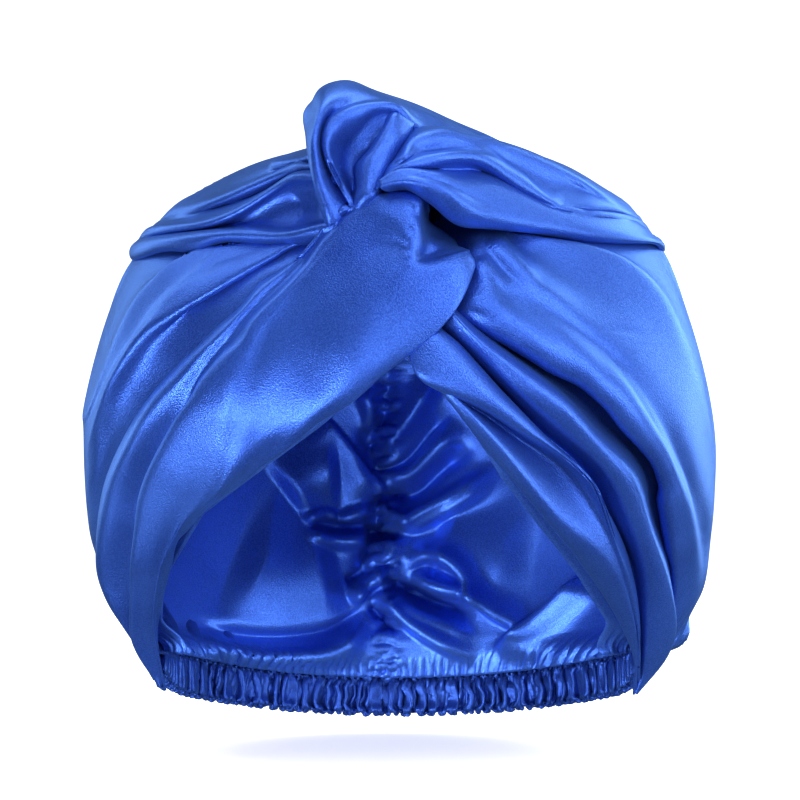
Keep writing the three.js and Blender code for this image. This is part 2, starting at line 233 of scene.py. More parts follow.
def settle(home, out, slackU, slackV, pinned, push, rounds, hold, stiff, low, high):
    moved = None
    steps = [2 ** k for k in reversed(range(len(rounds)))]
    for step, count in zip(steps, rounds):
        base, normal = home[::step, ::step], out[::step, ::step]
        free = 1.0 - pinned[::step, ::step]
        back = hold[::step, ::step, None] if isinstance(hold, np.ndarray) else hold
        more = (slackV[::step, ::step], slackU[::step, ::step])
        moved = normal * push[::step, ::step, None] if moved is None else refine(moved)
        point = base + moved * free[..., None]
        before = point.copy()
        jobs = []
        for reach, strength in ((1, 1.0), (2, stiff)):
            for axis, a, b in pairsOf(base.shape[:2], reach):
                if reach == 1:
                    length = np.linalg.norm(base[b] - base[a], axis=2)
                    rest = length * (1 + (more[axis][a] + more[axis][b]) / 2)
                else:
                    middle = list(a)
                    middle[axis] = slice(a[axis].start + 1, a[axis].stop + 1, a[axis].step)
                    middle = tuple(middle)
                    length = np.linalg.norm(base[middle] - base[a], axis=2)
                    length = length + np.linalg.norm(base[b] - base[middle], axis=2)
                    rest = length * (1 + more[axis][middle])
                jobs.append((rest, a, b, strength))
        rows = base.shape[0]
        both = (more[0] + more[1]) / 2
        for start in (0, 1):
            top, under = slice(start, rows - 1, 2), slice(start + 1, rows, 2)
            across = (top, slice(0, -1)), (under, slice(1, None))
            other = (top, slice(1, None)), (under, slice(0, -1))
            for a, b in (across, other):
                length = np.linalg.norm(base[b] - base[a], axis=2)
                jobs.append((length * (1 + (both[a] + both[b]) / 2), a, b, settling["diagonal"]))
        for _ in range(count):
            point, before = point + settling["drift"] * (point - before), point
            for rest, a, b, strength in jobs:
                tighten(point, free, rest, a, b, strength)
            away = point - base
            point = point - back * away
            height = np.einsum("ijk,ijk->ij", away, normal)
            fix = (np.clip(low - height, 0, None) - np.clip(height - high, 0, None)) * free
            point = point + normal * fix[..., None]
        moved = point - base
    return home + moved


def foldMarks(grid, marks):  # folds along drawn lines: x, z points, widths and heights at both ends, skew
    spot = grid[..., [0, 2]].reshape(-1, 2)
    push = np.zeros(len(spot))
    for points, widths, heights, skew in marks.values():
        line = evenly(np.array(points, float), 24)
        first, step = line[:-1], np.diff(line, axis=0)
        length = np.linalg.norm(step, axis=1)
        apart = spot[:, None, :] - first[None]
        share = np.clip(np.einsum("ijk,jk->ij", apart, step) / length ** 2, 0, 1)
        gap = apart - share[..., None] * step[None]
        far = np.linalg.norm(gap, axis=2)
        near = far.argmin(axis=1)
        pick = np.arange(len(spot))
        sign = np.sign(step[near, 0] * gap[pick, near, 1] - step[near, 1] * gap[pick, near, 0])
        s = (near + share[pick, near]) / len(first)
        width = widths[0] + (widths[1] - widths[0]) * s
        height = heights[0] + (heights[1] - heights[0]) * s
        taper = ease(s / 0.2) * ease((1 - s) / 0.3)
        push += height * taper * hill(far[pick, near], width * (1 + skew * sign))
    return push.reshape(grid.shape[:2])


def addWall(cloth, thick):  # gives a sheet its thickness, inwards
    wall = cloth.modifiers.new("wall", "SOLIDIFY")
    wall.thickness = thick * mm
    wall.offset = -1


uvScale = 10  # texture squares of 100 mm
mergeUnder = {"sheet": 0.00002, "halves": 0.0004}  # points nearer than this become one


def clothSheet(name, grid, thick, flip=False):  # one cloth object from a grid of points
    rows, columns = grid.shape[:2]
    bm = bmesh.new()
    uvLayer = bm.loops.layers.uv.new("cloth")
    bmesh.ops.create_grid(bm, x_segments=columns - 1, y_segments=rows - 1, size=0.5)
    stepsX = np.linalg.norm(np.diff(grid, axis=1), axis=2).mean() * (columns - 1)
    stepsY = np.linalg.norm(np.diff(grid, axis=0), axis=2).mean() * (rows - 1)
    for vert in bm.verts:
        u, v = vert.co.x + 0.5, vert.co.y + 0.5
        for loop in vert.link_loops:
            loop[uvLayer].uv = (u * stepsX * mm * uvScale, v * stepsY * mm * uvScale)
        vert.co = Vector(grid[round(v * (rows - 1)), round(u * (columns - 1))]) * mm
    bmesh.ops.remove_doubles(bm, verts=bm.verts, dist=mergeUnder["sheet"])
    if flip:
        bmesh.ops.reverse_faces(bm, faces=bm.faces)
    for face in bm.faces:
        face.smooth = True
    mesh = bpy.data.meshes.new(name)
    bm.to_mesh(mesh)
    bm.free()
    cloth = bpy.data.objects.new(name, mesh)
    bpy.context.scene.collection.objects.link(cloth)
    if thick:
        addWall(cloth, thick)
    return cloth


# Satin

satinLook = {
    "grainScale": 2100, "grainShare": 0.6, "cloudScale": 22, "cloudShare": 0.5, "roughScale": 60,
    "bump": 0.4, "bumpDepth": 0.0004, "metal": 0.6, "ior": 1.6, "specularTint": (0.35, 0.62, 1, 1),
    "sheen": 0.04, "sheenRough": 0.35, "sheenTint": (0.16, 0.45, 1, 1),
    # The last two set a painted sheen: a pale tint added to the base colour where the surface turns away from
    # the view.
    "paintedSheenBlend": 0.35, "paintedSheenTint": (0.03, 0.07, 0.1, 1),
}


def satinGroup():  # shared look of the satin: base colour, roughness and bump height
    group = bpy.data.node_groups.new("satinFace", "ShaderNodeTree")
    for socket, kind in (("deep", "NodeSocketColor"), ("bright", "NodeSocketColor"),
                         ("roughLow", "NodeSocketFloat"), ("roughHigh", "NodeSocketFloat")):
        group.interface.new_socket(socket, in_out="INPUT", socket_type=kind)
    for socket, kind in (("colour", "NodeSocketColor"), ("roughness", "NodeSocketFloat"),
                         ("height", "NodeSocketFloat")):
        group.interface.new_socket(socket, in_out="OUTPUT", socket_type=kind)
    nodes, links = group.nodes, group.links
    given = nodes.new("NodeGroupInput")
    result = nodes.new("NodeGroupOutput")
    place = nodes.new("ShaderNodeTexCoord")

    def noise(scale, detail):
        texture = nodes.new("ShaderNodeTexNoise")
        texture.inputs["Scale"].default_value = scale
        texture.inputs["Detail"].default_value = detail
        links.new(place.outputs["Object"], texture.inputs["Vector"])
        return texture.outputs["Fac"]

    def mapped(value, low, high, toLow, toHigh):
        node = nodes.new("ShaderNodeMapRange")
        for name, number in (("From Min", low), ("From Max", high), ("To Min", toLow), ("To Max", toHigh)):
            node.inputs[name].default_value = number
        links.new(value, node.inputs["Value"])
        return node.outputs["Result"]

    grain = noise(satinLook["grainScale"], 1)
    cloud = noise(satinLook["cloudScale"], 2)
    both = nodes.new("ShaderNodeMath")
    both.operation = "ADD"
    links.new(mapped(grain, 0.38, 0.62, 0, satinLook["grainShare"]), both.inputs[0])
    links.new(mapped(cloud, 0.3, 0.7, 0, satinLook["cloudShare"]), both.inputs[1])
    tone = nodes.new("ShaderNodeMix")
    tone.data_type = "RGBA"
    links.new(both.outputs[0], tone.inputs["Factor"])
    links.new(given.outputs["deep"], tone.inputs["A"])
    links.new(given.outputs["bright"], tone.inputs["B"])
    links.new(tone.outputs["Result"], result.inputs["colour"])
    rough = nodes.new("ShaderNodeMix")
    rough.data_type = "FLOAT"
    links.new(mapped(noise(satinLook["roughScale"], 3), 0.3, 0.7, 0, 1), rough.inputs["Factor"])
    links.new(given.outputs["roughLow"], rough.inputs["A"])
    links.new(given.outputs["roughHigh"], rough.inputs["B"])
    links.new(rough.outputs["Result"], result.inputs["roughness"])
    links.new(grain, result.inputs["height"])
    return group


satinFace = satinGroup()


def satin(name, deep, bright, roughLow, roughHigh):
    material = bpy.data.materials.new(name)
    material.use_nodes = True
    nodes, links = material.node_tree.nodes, material.node_tree.links
    shader = nodes["Principled BSDF"]
    face = nodes.new("ShaderNodeGroup")
    face.node_tree = satinFace
    face.inputs["deep"].default_value = (*deep, 1)
    face.inputs["bright"].default_value = (*bright, 1)
    face.inputs["roughLow"].default_value = roughLow
    face.inputs["roughHigh"].default_value = roughHigh
    bump = nodes.new("ShaderNodeBump")
    bump.inputs["Strength"].default_value = satinLook["bump"]
    bump.inputs["Distance"].default_value = satinLook["bumpDepth"]
    # Painted sheen: a pale tint is added to the base colour by the facing angle, standing in for the satin's
    # glow at grazing angles.
    edge = nodes.new("ShaderNodeLayerWeight")
    edge.inputs["Blend"].default_value = satinLook["paintedSheenBlend"]
    paintedSheen = nodes.new("ShaderNodeMix")
    paintedSheen.data_type = "RGBA"
    paintedSheen.blend_type = "ADD"
    paintedSheen.inputs["B"].default_value = satinLook["paintedSheenTint"]
    links.new(edge.outputs["Facing"], paintedSheen.inputs["Factor"])
    links.new(face.outputs["colour"], paintedSheen.inputs["A"])
    links.new(paintedSheen.outputs["Result"], shader.inputs["Base Color"])
    links.new(face.outputs["roughness"], shader.inputs["Roughness"])
    links.new(face.outputs["height"], bump.inputs["Height"])
    links.new(bump.outputs["Normal"], shader.inputs["Normal"])
    for socket, key in (("Metallic", "metal"), ("IOR", "ior"), ("Specular Tint", "specularTint"),
                        ("Sheen Weight", "sheen"), ("Sheen Roughness", "sheenRough"),
                        ("Sheen Tint", "sheenTint")):
        shader.inputs[socket].default_value = satinLook[key]
    return material


outerSatin = satin("outerSatin", (0.018, 0.051, 0.3), (0.046, 0.117, 0.49), 0.3, 0.37)
# The lining's satin is a paler copy of the outer satin: painted light for the inside of the cap.
paintedLitLiningSatin = satin("paintedLitLiningSatin", (0.034, 0.096, 0.48), (0.08, 0.2, 0.74), 0.32, 0.4)
# The casing's satin is a darker copy of the outer satin: painted shade for the gathered cloth at the nape.
paintedShadeCasingSatin = satin("paintedShadeCasingSatin", (0.014, 0.04, 0.25), (0.034, 0.088, 0.41), 0.36, 0.44)


def finish(cloth, material, node):
    cloth.data.materials.append(material)
    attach(cloth, "root")
    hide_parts(node)


# The front band on the -X side, with the tongue of the twist: x, z and how far off the bag, from the tip up

bandLeft = {
    "columns": 141, "rows": 190, "thick": 0.9, "seed": 4, "flat": (0.09, 0.23), "area": 0.0175,
    "under": [(-89, -167, 1), (-91.5, -150, 0), (-89, -137, 0.5), (-85, -122, 1), (-80, -109, 1.5),
              (-67, -96, 2.5), (-50, -80, 4), (-28, -64, 6), (-5, -46, 9), (5, -38, 11), (12, -31, 12),
              (17, -25, 12), (19, -21, 10), (16, -18, 7)],
    "hem": [(-85.5, -168.5, 2), (-87.5, -153.5, 3), (-87.5, -143.5, 3), (-86, -137.5, 3), (-83.5, -128, 3),
            (-80.5, -118.5, 3.5), (-78, -111.5, 4), (-74, -107, 4.5), (-69.5, -102, 5), (-62, -96, 6),
            (-54.5, -90.5, 7), (-47.5, -85, 8), (-40.5, -80.5, 9), (-33.5, -75, 10), (-25, -68.5, 11),
            (-16.5, -63, 12), (-6.5, -54, 13.5), (0.5, -48, 15), (7, -42.5, 16), (15, -34.5, 18),
            (21.5, -26, 19.5), (24.7, -19, 19), (25, -16.5, 15), (20, -17, 9)],
    "middle": [(-86, -168, 4), (-88, -153.5, 5.5), (-88.5, -143, 6.5), (-87, -133.5, 8), (-84, -122, 9),
               (-80, -113, 10), (-73.5, -103.5, 10.5), (-65, -96.5, 11.5), (-56, -88.5, 12.5),
               (-48, -80.5, 13), (-38.5, -72, 14), (-30, -63.5, 15), (-21.5, -55.5, 16.5), (-14.5, -47, 18),
               (-9, -38.5, 19.5), (-3.5, -31.5, 21), (3, -24.5, 23), (8, -21, 23.5), (13, -18.5, 23.5),
               (18, -16, 23.5), (22, -14, 22), (24, -13, 17.5), (22.5, -13, 11)],
    "crest": [(-87, -167.5, 5), (-89.5, -154.5, 7), (-90.5, -145, 9), (-89.5, -133.5, 10.5),
              (-87, -122, 12), (-82.5, -111, 12.5), (-76.5, -101, 13), (-68.5, -92, 13.5), (-63, -83, 14),
              (-60, -74, 14), (-57, -64.5, 14), (-53, -56, 14), (-49, -48, 14), (-45, -41, 14.5),
              (-40, -36, 15), (-34.5, -29.5, 16), (-28, -23.5, 18), (-21.5, -17.5, 20), (-14, -13, 22.5),
              (-6.5, -10.5, 24.5), (0, -11, 26.5), (4.5, -12.5, 27), (6.5, -13, 25), (8, -13.5, 21.5),
              (11, -13, 20), (15, -12, 20.5), (19, -11, 19), (21.5, -10.5, 15), (20.5, -10.5, 9)],
    "ridge": [(-88, -167, 5), (-91.5, -161.5, 6.5), (-95, -155, 8), (-97, -149, 9), (-97, -142, 9.5),
              (-96, -133, 9.5), (-95.5, -123.5, 9.5), (-94.5, -114.5, 10), (-93, -105, 10), (-91, -95, 10),
              (-88, -87.5, 10.5), (-84.5, -81, 11), (-80, -73.5, 11), (-75, -66, 11.5), (-71, -61, 12),
              (-68, -56, 12.5), (-64, -51, 13), (-59, -45.5, 13.5), (-53.5, -40.5, 14), (-50.5, -35.5, 14.5),
              (-46, -30.5, 15), (-40, -25, 15.5), (-34.5, -19.5, 16.5), (-30.5, -15, 18),
              (-26.5, -9.5, 20.5), (-22, -4.5, 23.5), (-17.5, 0, 26.5), (-12, 1, 29), (-6, 1, 31),
              (2, -1, 32), (5.5, -2, 31.5), (7.3, -3, 28), (8.3, -3.8, 22), (10, -4.5, 15), (13, -5, 10),
              (16, -5, 6)],
    "crease": [(-88.5, -166, 2), (-91, -160.5, 2.5), (-93.5, -154, 3), (-95, -149.5, 3.5),
               (-95.5, -142.5, 3.5), (-94.5, -133.5, 3.5), (-94, -124, 3.5), (-93, -114.5, 3.5),
               (-92, -105, 4), (-90, -96, 4), (-87.5, -89, 4.5), (-84, -82, 5), (-80, -74.5, 5.5),
               (-75, -67, 6.5), (-72, -61.5, 7.5), (-69.5, -56, 8.5), (-66, -51, 9.5), (-61, -45, 10),
               (-56, -39.5, 11), (-52, -34, 11.5), (-47, -29, 12), (-41.5, -23.5, 13), (-35.5, -18, 14.5),
               (-31.5, -13.5, 16), (-27.5, -8.5, 19), (-23, -3, 22), (-18, 1, 25.5), (-13, 2.5, 29),
               (-7, 4, 32), (3, 3.5, 34), (6.3, 2.5, 33.5), (7.8, 1.5, 29), (8.6, 0, 22), (9.5, -1, 14),
               (11, -1.5, 8)],
    "stripTop": [(-89.5, -165.5, 3), (-95, -154, 4), (-98.5, -148, 5), (-101.5, -142, 6), (-104, -136, 7),
                 (-106, -130, 7.5), (-106.5, -123, 8), (-106, -115.5, 8.5), (-104, -105.5, 8.5),
                 (-101.5, -96.5, 8.5), (-98, -87.5, 9), (-93.5, -79.5, 9.5), (-88.5, -71, 10),
                 (-83, -63.5, 10), (-78.5, -58, 10.5), (-74, -53, 11), (-69, -47, 11.5), (-63.5, -41.5, 12),
                 (-58, -36, 12.5), (-53, -31, 13), (-48, -25.5, 13.5), (-42, -20.5, 14.5),
                 (-36.5, -16, 15.5), (-32.5, -12, 17), (-28.5, -7, 20), (-24.5, -2, 23.5), (-19.5, 2, 27),
                 (-15, 4.5, 30), (-8, 7, 33), (2, 6.5, 35), (6.8, 5.8, 34.5), (8.1, 5, 30.5), (8.9, 3.5, 22),
                 (9.5, 2.5, 14), (10, 2, 8)],
    "edge": [(-90.5, -165, 1), (-95.5, -155, 1.5), (-99, -147, 2.5), (-103, -141.5, 3.5), (-106.5, -136, 4.5),
             (-108.5, -130.5, 5), (-110, -124.5, 5.5), (-110, -118, 6), (-109, -108.5, 6), (-107, -98.5, 6),
             (-103.5, -88, 6), (-98, -77.5, 6.5), (-92.5, -68.5, 6.5), (-86, -60, 7), (-80.5, -54, 7),
             (-75, -48.5, 7.5), (-68, -42, 7.5), (-61, -35.5, 8), (-54, -29.5, 8.5), (-47.5, -22, 9.5),
             (-42, -18.5, 10.5), (-37, -15.5, 12), (-32.5, -12.5, 14), (-29.5, -7.5, 17), (-25, -3.5, 21),
             (-20.5, 0.5, 25.5), (-16, 4.5, 29), (-10, 7.5, 32), (-1, 8.5, 34), (5, 8.2, 34), (7.8, 7.3, 33),
             (8.6, 6, 29), (9, 4.5, 22), (9.3, 3.5, 14), (9.5, 3, 8)],
    "tuck": [(-90, -163.5, -2), (-95, -152, -3), (-98, -146.5, -3.5), (-102, -141, -3.5),
             (-105.5, -136, -3.5), (-108, -131.5, -3.5), (-109, -125.5, -3.5), (-110, -119, -3.5),
             (-107.5, -109.5, -3.5), (-105, -99.5, -3.5), (-101, -90, -3.5), (-96, -79.5, -3.5),
             (-90, -71, -3.5), (-84, -62.5, -3), (-78.5, -57, -3), (-73, -51, -3), (-66, -44.5, -3),
             (-59.5, -38, -2.5), (-52.5, -31.5, -2), (-45.5, -24.5, -1), (-41, -21, 0), (-36, -18, 2),
             (-32, -15, 4.5), (-27.5, -11, 8), (-23.5, -7, 12), (-19.5, -2.5, 16), (-15, 1.5, 20),
             (-9, 3, 22), (-2, 4, 25), (4, 4, 26), (7, 3.5, 22), (8.5, 2.5, 14), (9, 2, 8)],
    "marks": {
        "pressedHem": ([(-84, -133), (-80, -118.5), (-73.5, -106), (-61, -95), (-46, -84.5), (-32.5, -74.5),
                        (-16, -63), (-5.5, -54), (6, -43)], (0.8, 0.8), (0.55, 0.45), 0),
        "broad": ([(-58, -84), (-40, -66), (-18, -46)], (9, 12), (-1, -1.2), 0),
    },
}


def makeBandLeft():
    names = ("under", "hem", "middle", "crest", "ridge", "crease", "stripTop", "edge", "tuck")
    lines = [offBag(bandLeft[k]) for k in names]
    grid = loft(lines, bandLeft["columns"], bandLeft["rows"], 0.55)
    normal = -outwards(grid)
    grid = grid + normal * foldMarks(grid, bandLeft["marks"])[..., None]
    grid = grid + normal * (0.25 * ripples(grid.shape[:2], 5, 2, bandLeft["seed"]))[..., None]
    return clothSheet("band_left", grid, bandLeft["thick"], flip=True)


finish(makeBandLeft(), outerSatin, "band_left")
print("left band made")

# The front band on the +X side, with its overlapping pleats

bandRight = {
    "columns": 160, "rows": 170, "thick": 0.9, "seed": 9, "flat": (0.085, 0.2), "area": 0.0142,
    "under": [(88, -166, 1), (88, -156, 0.5), (84.5, -144, 0.5), (77, -129, 1), (67, -114, 1.5),
              (55, -98, 3), (42, -83, 4), (30, -71, 5.5), (20, -58, 6.5), (11, -49, 7), (5, -42, 7),
              (0, -35, 7)],
    "hem": [(85, -170, 3), (85.5, -160, 3), (81.6, -148, 3.5), (74, -134, 4), (64, -120, 5), (52, -105, 6),
            (38.6, -90, 7.5), (27, -77, 9), (18, -64.6, 10), (10, -55, 10.5), (4.7, -48, 11), (0, -40, 11)],
    "swell": [(86.5, -168, 5), (86, -154, 8), (80.4, -136, 10), (72.4, -121, 12), (57, -104.5, 13.5),
              (42, -86.4, 13.5), (28, -70.6, 13.5), (17.4, -60, 13), (8.8, -52, 12.5), (2, -45, 12),
              (-2, -37, 12)],
    "innerDip": [(87, -165, 5.5), (86, -150, 7.5), (82.6, -136, 9.5), (78, -122, 11), (70, -104.7, 9.5),
                 (62, -92, 5.5), (51, -82, 4), (40, -75, 4.5), (27, -66, 7), (14, -59, 10),
                 (7.8, -54.5, 11.5), (4, -48.4, 11.5), (0, -39, 11)],
    "firstEdge": [(87, -161, 6.5), (86.4, -151, 8), (84, -136, 9.5), (80.5, -124, 11), (75, -111, 12),
                  (70.7, -100, 13), (66.5, -91.4, 13.5), (60, -84.8, 13.5), (51, -78.3, 13.5),
                  (41.8, -73.2, 13.5), (27, -63.7, 14.5), (13.6, -56.6, 15.5), (7.4, -52.2, 15.5),
                  (4.7, -46.8, 14), (2, -38, 13)],
    "firstPanel": [(87.6, -156, 5.5), (85, -136, 7), (81.7, -122.7, 7.5), (72.2, -101, 9), (66.8, -90.8, 11),
                   (60, -83.4, 12), (48.9, -74.5, 13), (36.4, -64.4, 14.5), (23.5, -53.5, 16),
                   (15.6, -45.7, 16), (10.5, -40, 15), (6.4, -35, 13)],
    "firstDip": [(86, -168, 3.5), (86.8, -160, 3), (87, -151, 2), (85.8, -136, 1.5), (83, -121.6, 1),
                 (73.5, -101.8, 1), (67, -90, 2), (60, -82, 3), (50, -74, 3), (43.6, -68, 3),
                 (29.8, -53.8, 3), (19, -44, 4), (12.9, -38, 6), (8.8, -33, 7)],
    "secondPanel": [(86.2, -169.5, 4.5), (89, -163, 6), (91, -155, 7.5), (91, -137, 8), (87.5, -122, 8.5),
                    (79, -100.6, 9), (71, -86, 11), (61.4, -76.7, 11.5), (52.4, -69, 12),
                    (39.8, -58.6, 12.5), (27.6, -47.7, 12.5), (19, -39, 13.5), (14, -33, 13)],
    "secondEdge": [(86.8, -170, 4.5), (91.5, -164, 6), (95.5, -158, 7), (98, -151.5, 8), (98.8, -145.8, 8.5),
                   (97.3, -135, 9.5), (94.4, -125, 10), (89.3, -112, 10.5), (84.6, -100.3, 11),
                   (79, -87.8, 12), (72, -80.3, 12.5), (64.2, -72.8, 13), (56.6, -64.8, 13.5),
                   (47.3, -57.5, 14), (36.1, -49.3, 15), (27, -42.3, 16), (17.9, -32.8, 16), (14, -29, 15)],
    "secondDip": [(86.8, -168.5, 2), (91.5, -162.5, 1.5), (95.5, -156.5, 1), (98.2, -150, 1),
                  (98.7, -139, 1), (97.5, -126, 0.5), (93.5, -112.8, 0), (89, -101.6, 0), (85.5, -88.8, 0.5),
                  (78.7, -78.6, 0.5), (69.7, -70.8, 1), (60, -61.5, 1.5), (50.7, -53.4, 2), (38, -44.6, 2.5),
                  (27.5, -36.5, 3), (20, -31, 4), (15.5, -26, 5)],
    "tuck": [(86.8, -167, 0), (91.5, -160.5, -1), (96, -154, -2), (100, -147, -2), (102, -136, -2),
             (101.5, -123, -2), (98, -109.6, -2.5), (94.5, -98.3, -2.5), (91, -84.3, -2.5),
             (84, -73.4, -2.5), (74.3, -64.8, -2.5), (64.6, -56.8, -2), (54.3, -48.9, -2), (41.5, -39.7, -1),
             (31, -32.4, 0), (23.4, -26.8, 1), (19, -22, 2)],
}


def makeBandRight():
    names = ("under", "hem", "swell", "innerDip", "firstEdge", "firstPanel", "firstDip", "secondPanel",
             "secondEdge", "secondDip", "tuck")
    grid = loft([offBag(bandRight[k]) for k in names], bandRight["columns"], bandRight["rows"])
    normal = outwards(grid)
    grid = grid + normal * (0.25 * ripples(grid.shape[:2], 6, 2, bandRight["seed"]))[..., None]
    return clothSheet("band_right", grid, bandRight["thick"])


finish(makeBandRight(), outerSatin, "band_right")
print("right band made")

# The bag: each half is lofted from lines that run from the twist round the side to the centre back

bagMarks = {
    "right": {
        "crest": ([(27, -6), (31, -13), (37, -19.5), (42, -24.5)], (2.2, 2), (1.3, 0.8), 0.2),
        "crestDip": ([(31, -5), (36, -12), (42, -18), (48, -23)], (3, 3), (-1.4, -1), 0),
        "facet": ([(26.5, -14), (31, -20.5), (37, -26)], (2.4, 2.4), (-1.6, -1.2), 0),
        "patchTop": ([(66, -40), (70, -38.5), (78, -38.5), (86, -39.5)], (1, 1), (0.35, 0.3), 0),
        "patchSide": ([(67, -42), (77, -55), (86, -68), (96, -83)], (0.9, 0.9), (0.35, 0.3), 0),
        "pocket": ([(91, -92), (94, -106), (97, -122)], (4.5, 4.5), (-1.6, -1.4), 0),
    },
    "left": {
        "faint": ([(-62.5, -10), (-66, -14.5), (-76.5, -23.5), (-91.5, -39.5)], (1.6, 1.6), (-0.8, -0.6), 0),
        "pocket": ([(-102, -132), (-98, -138), (-95, -143)], (3, 3), (-2, -2), 0),
    },
}
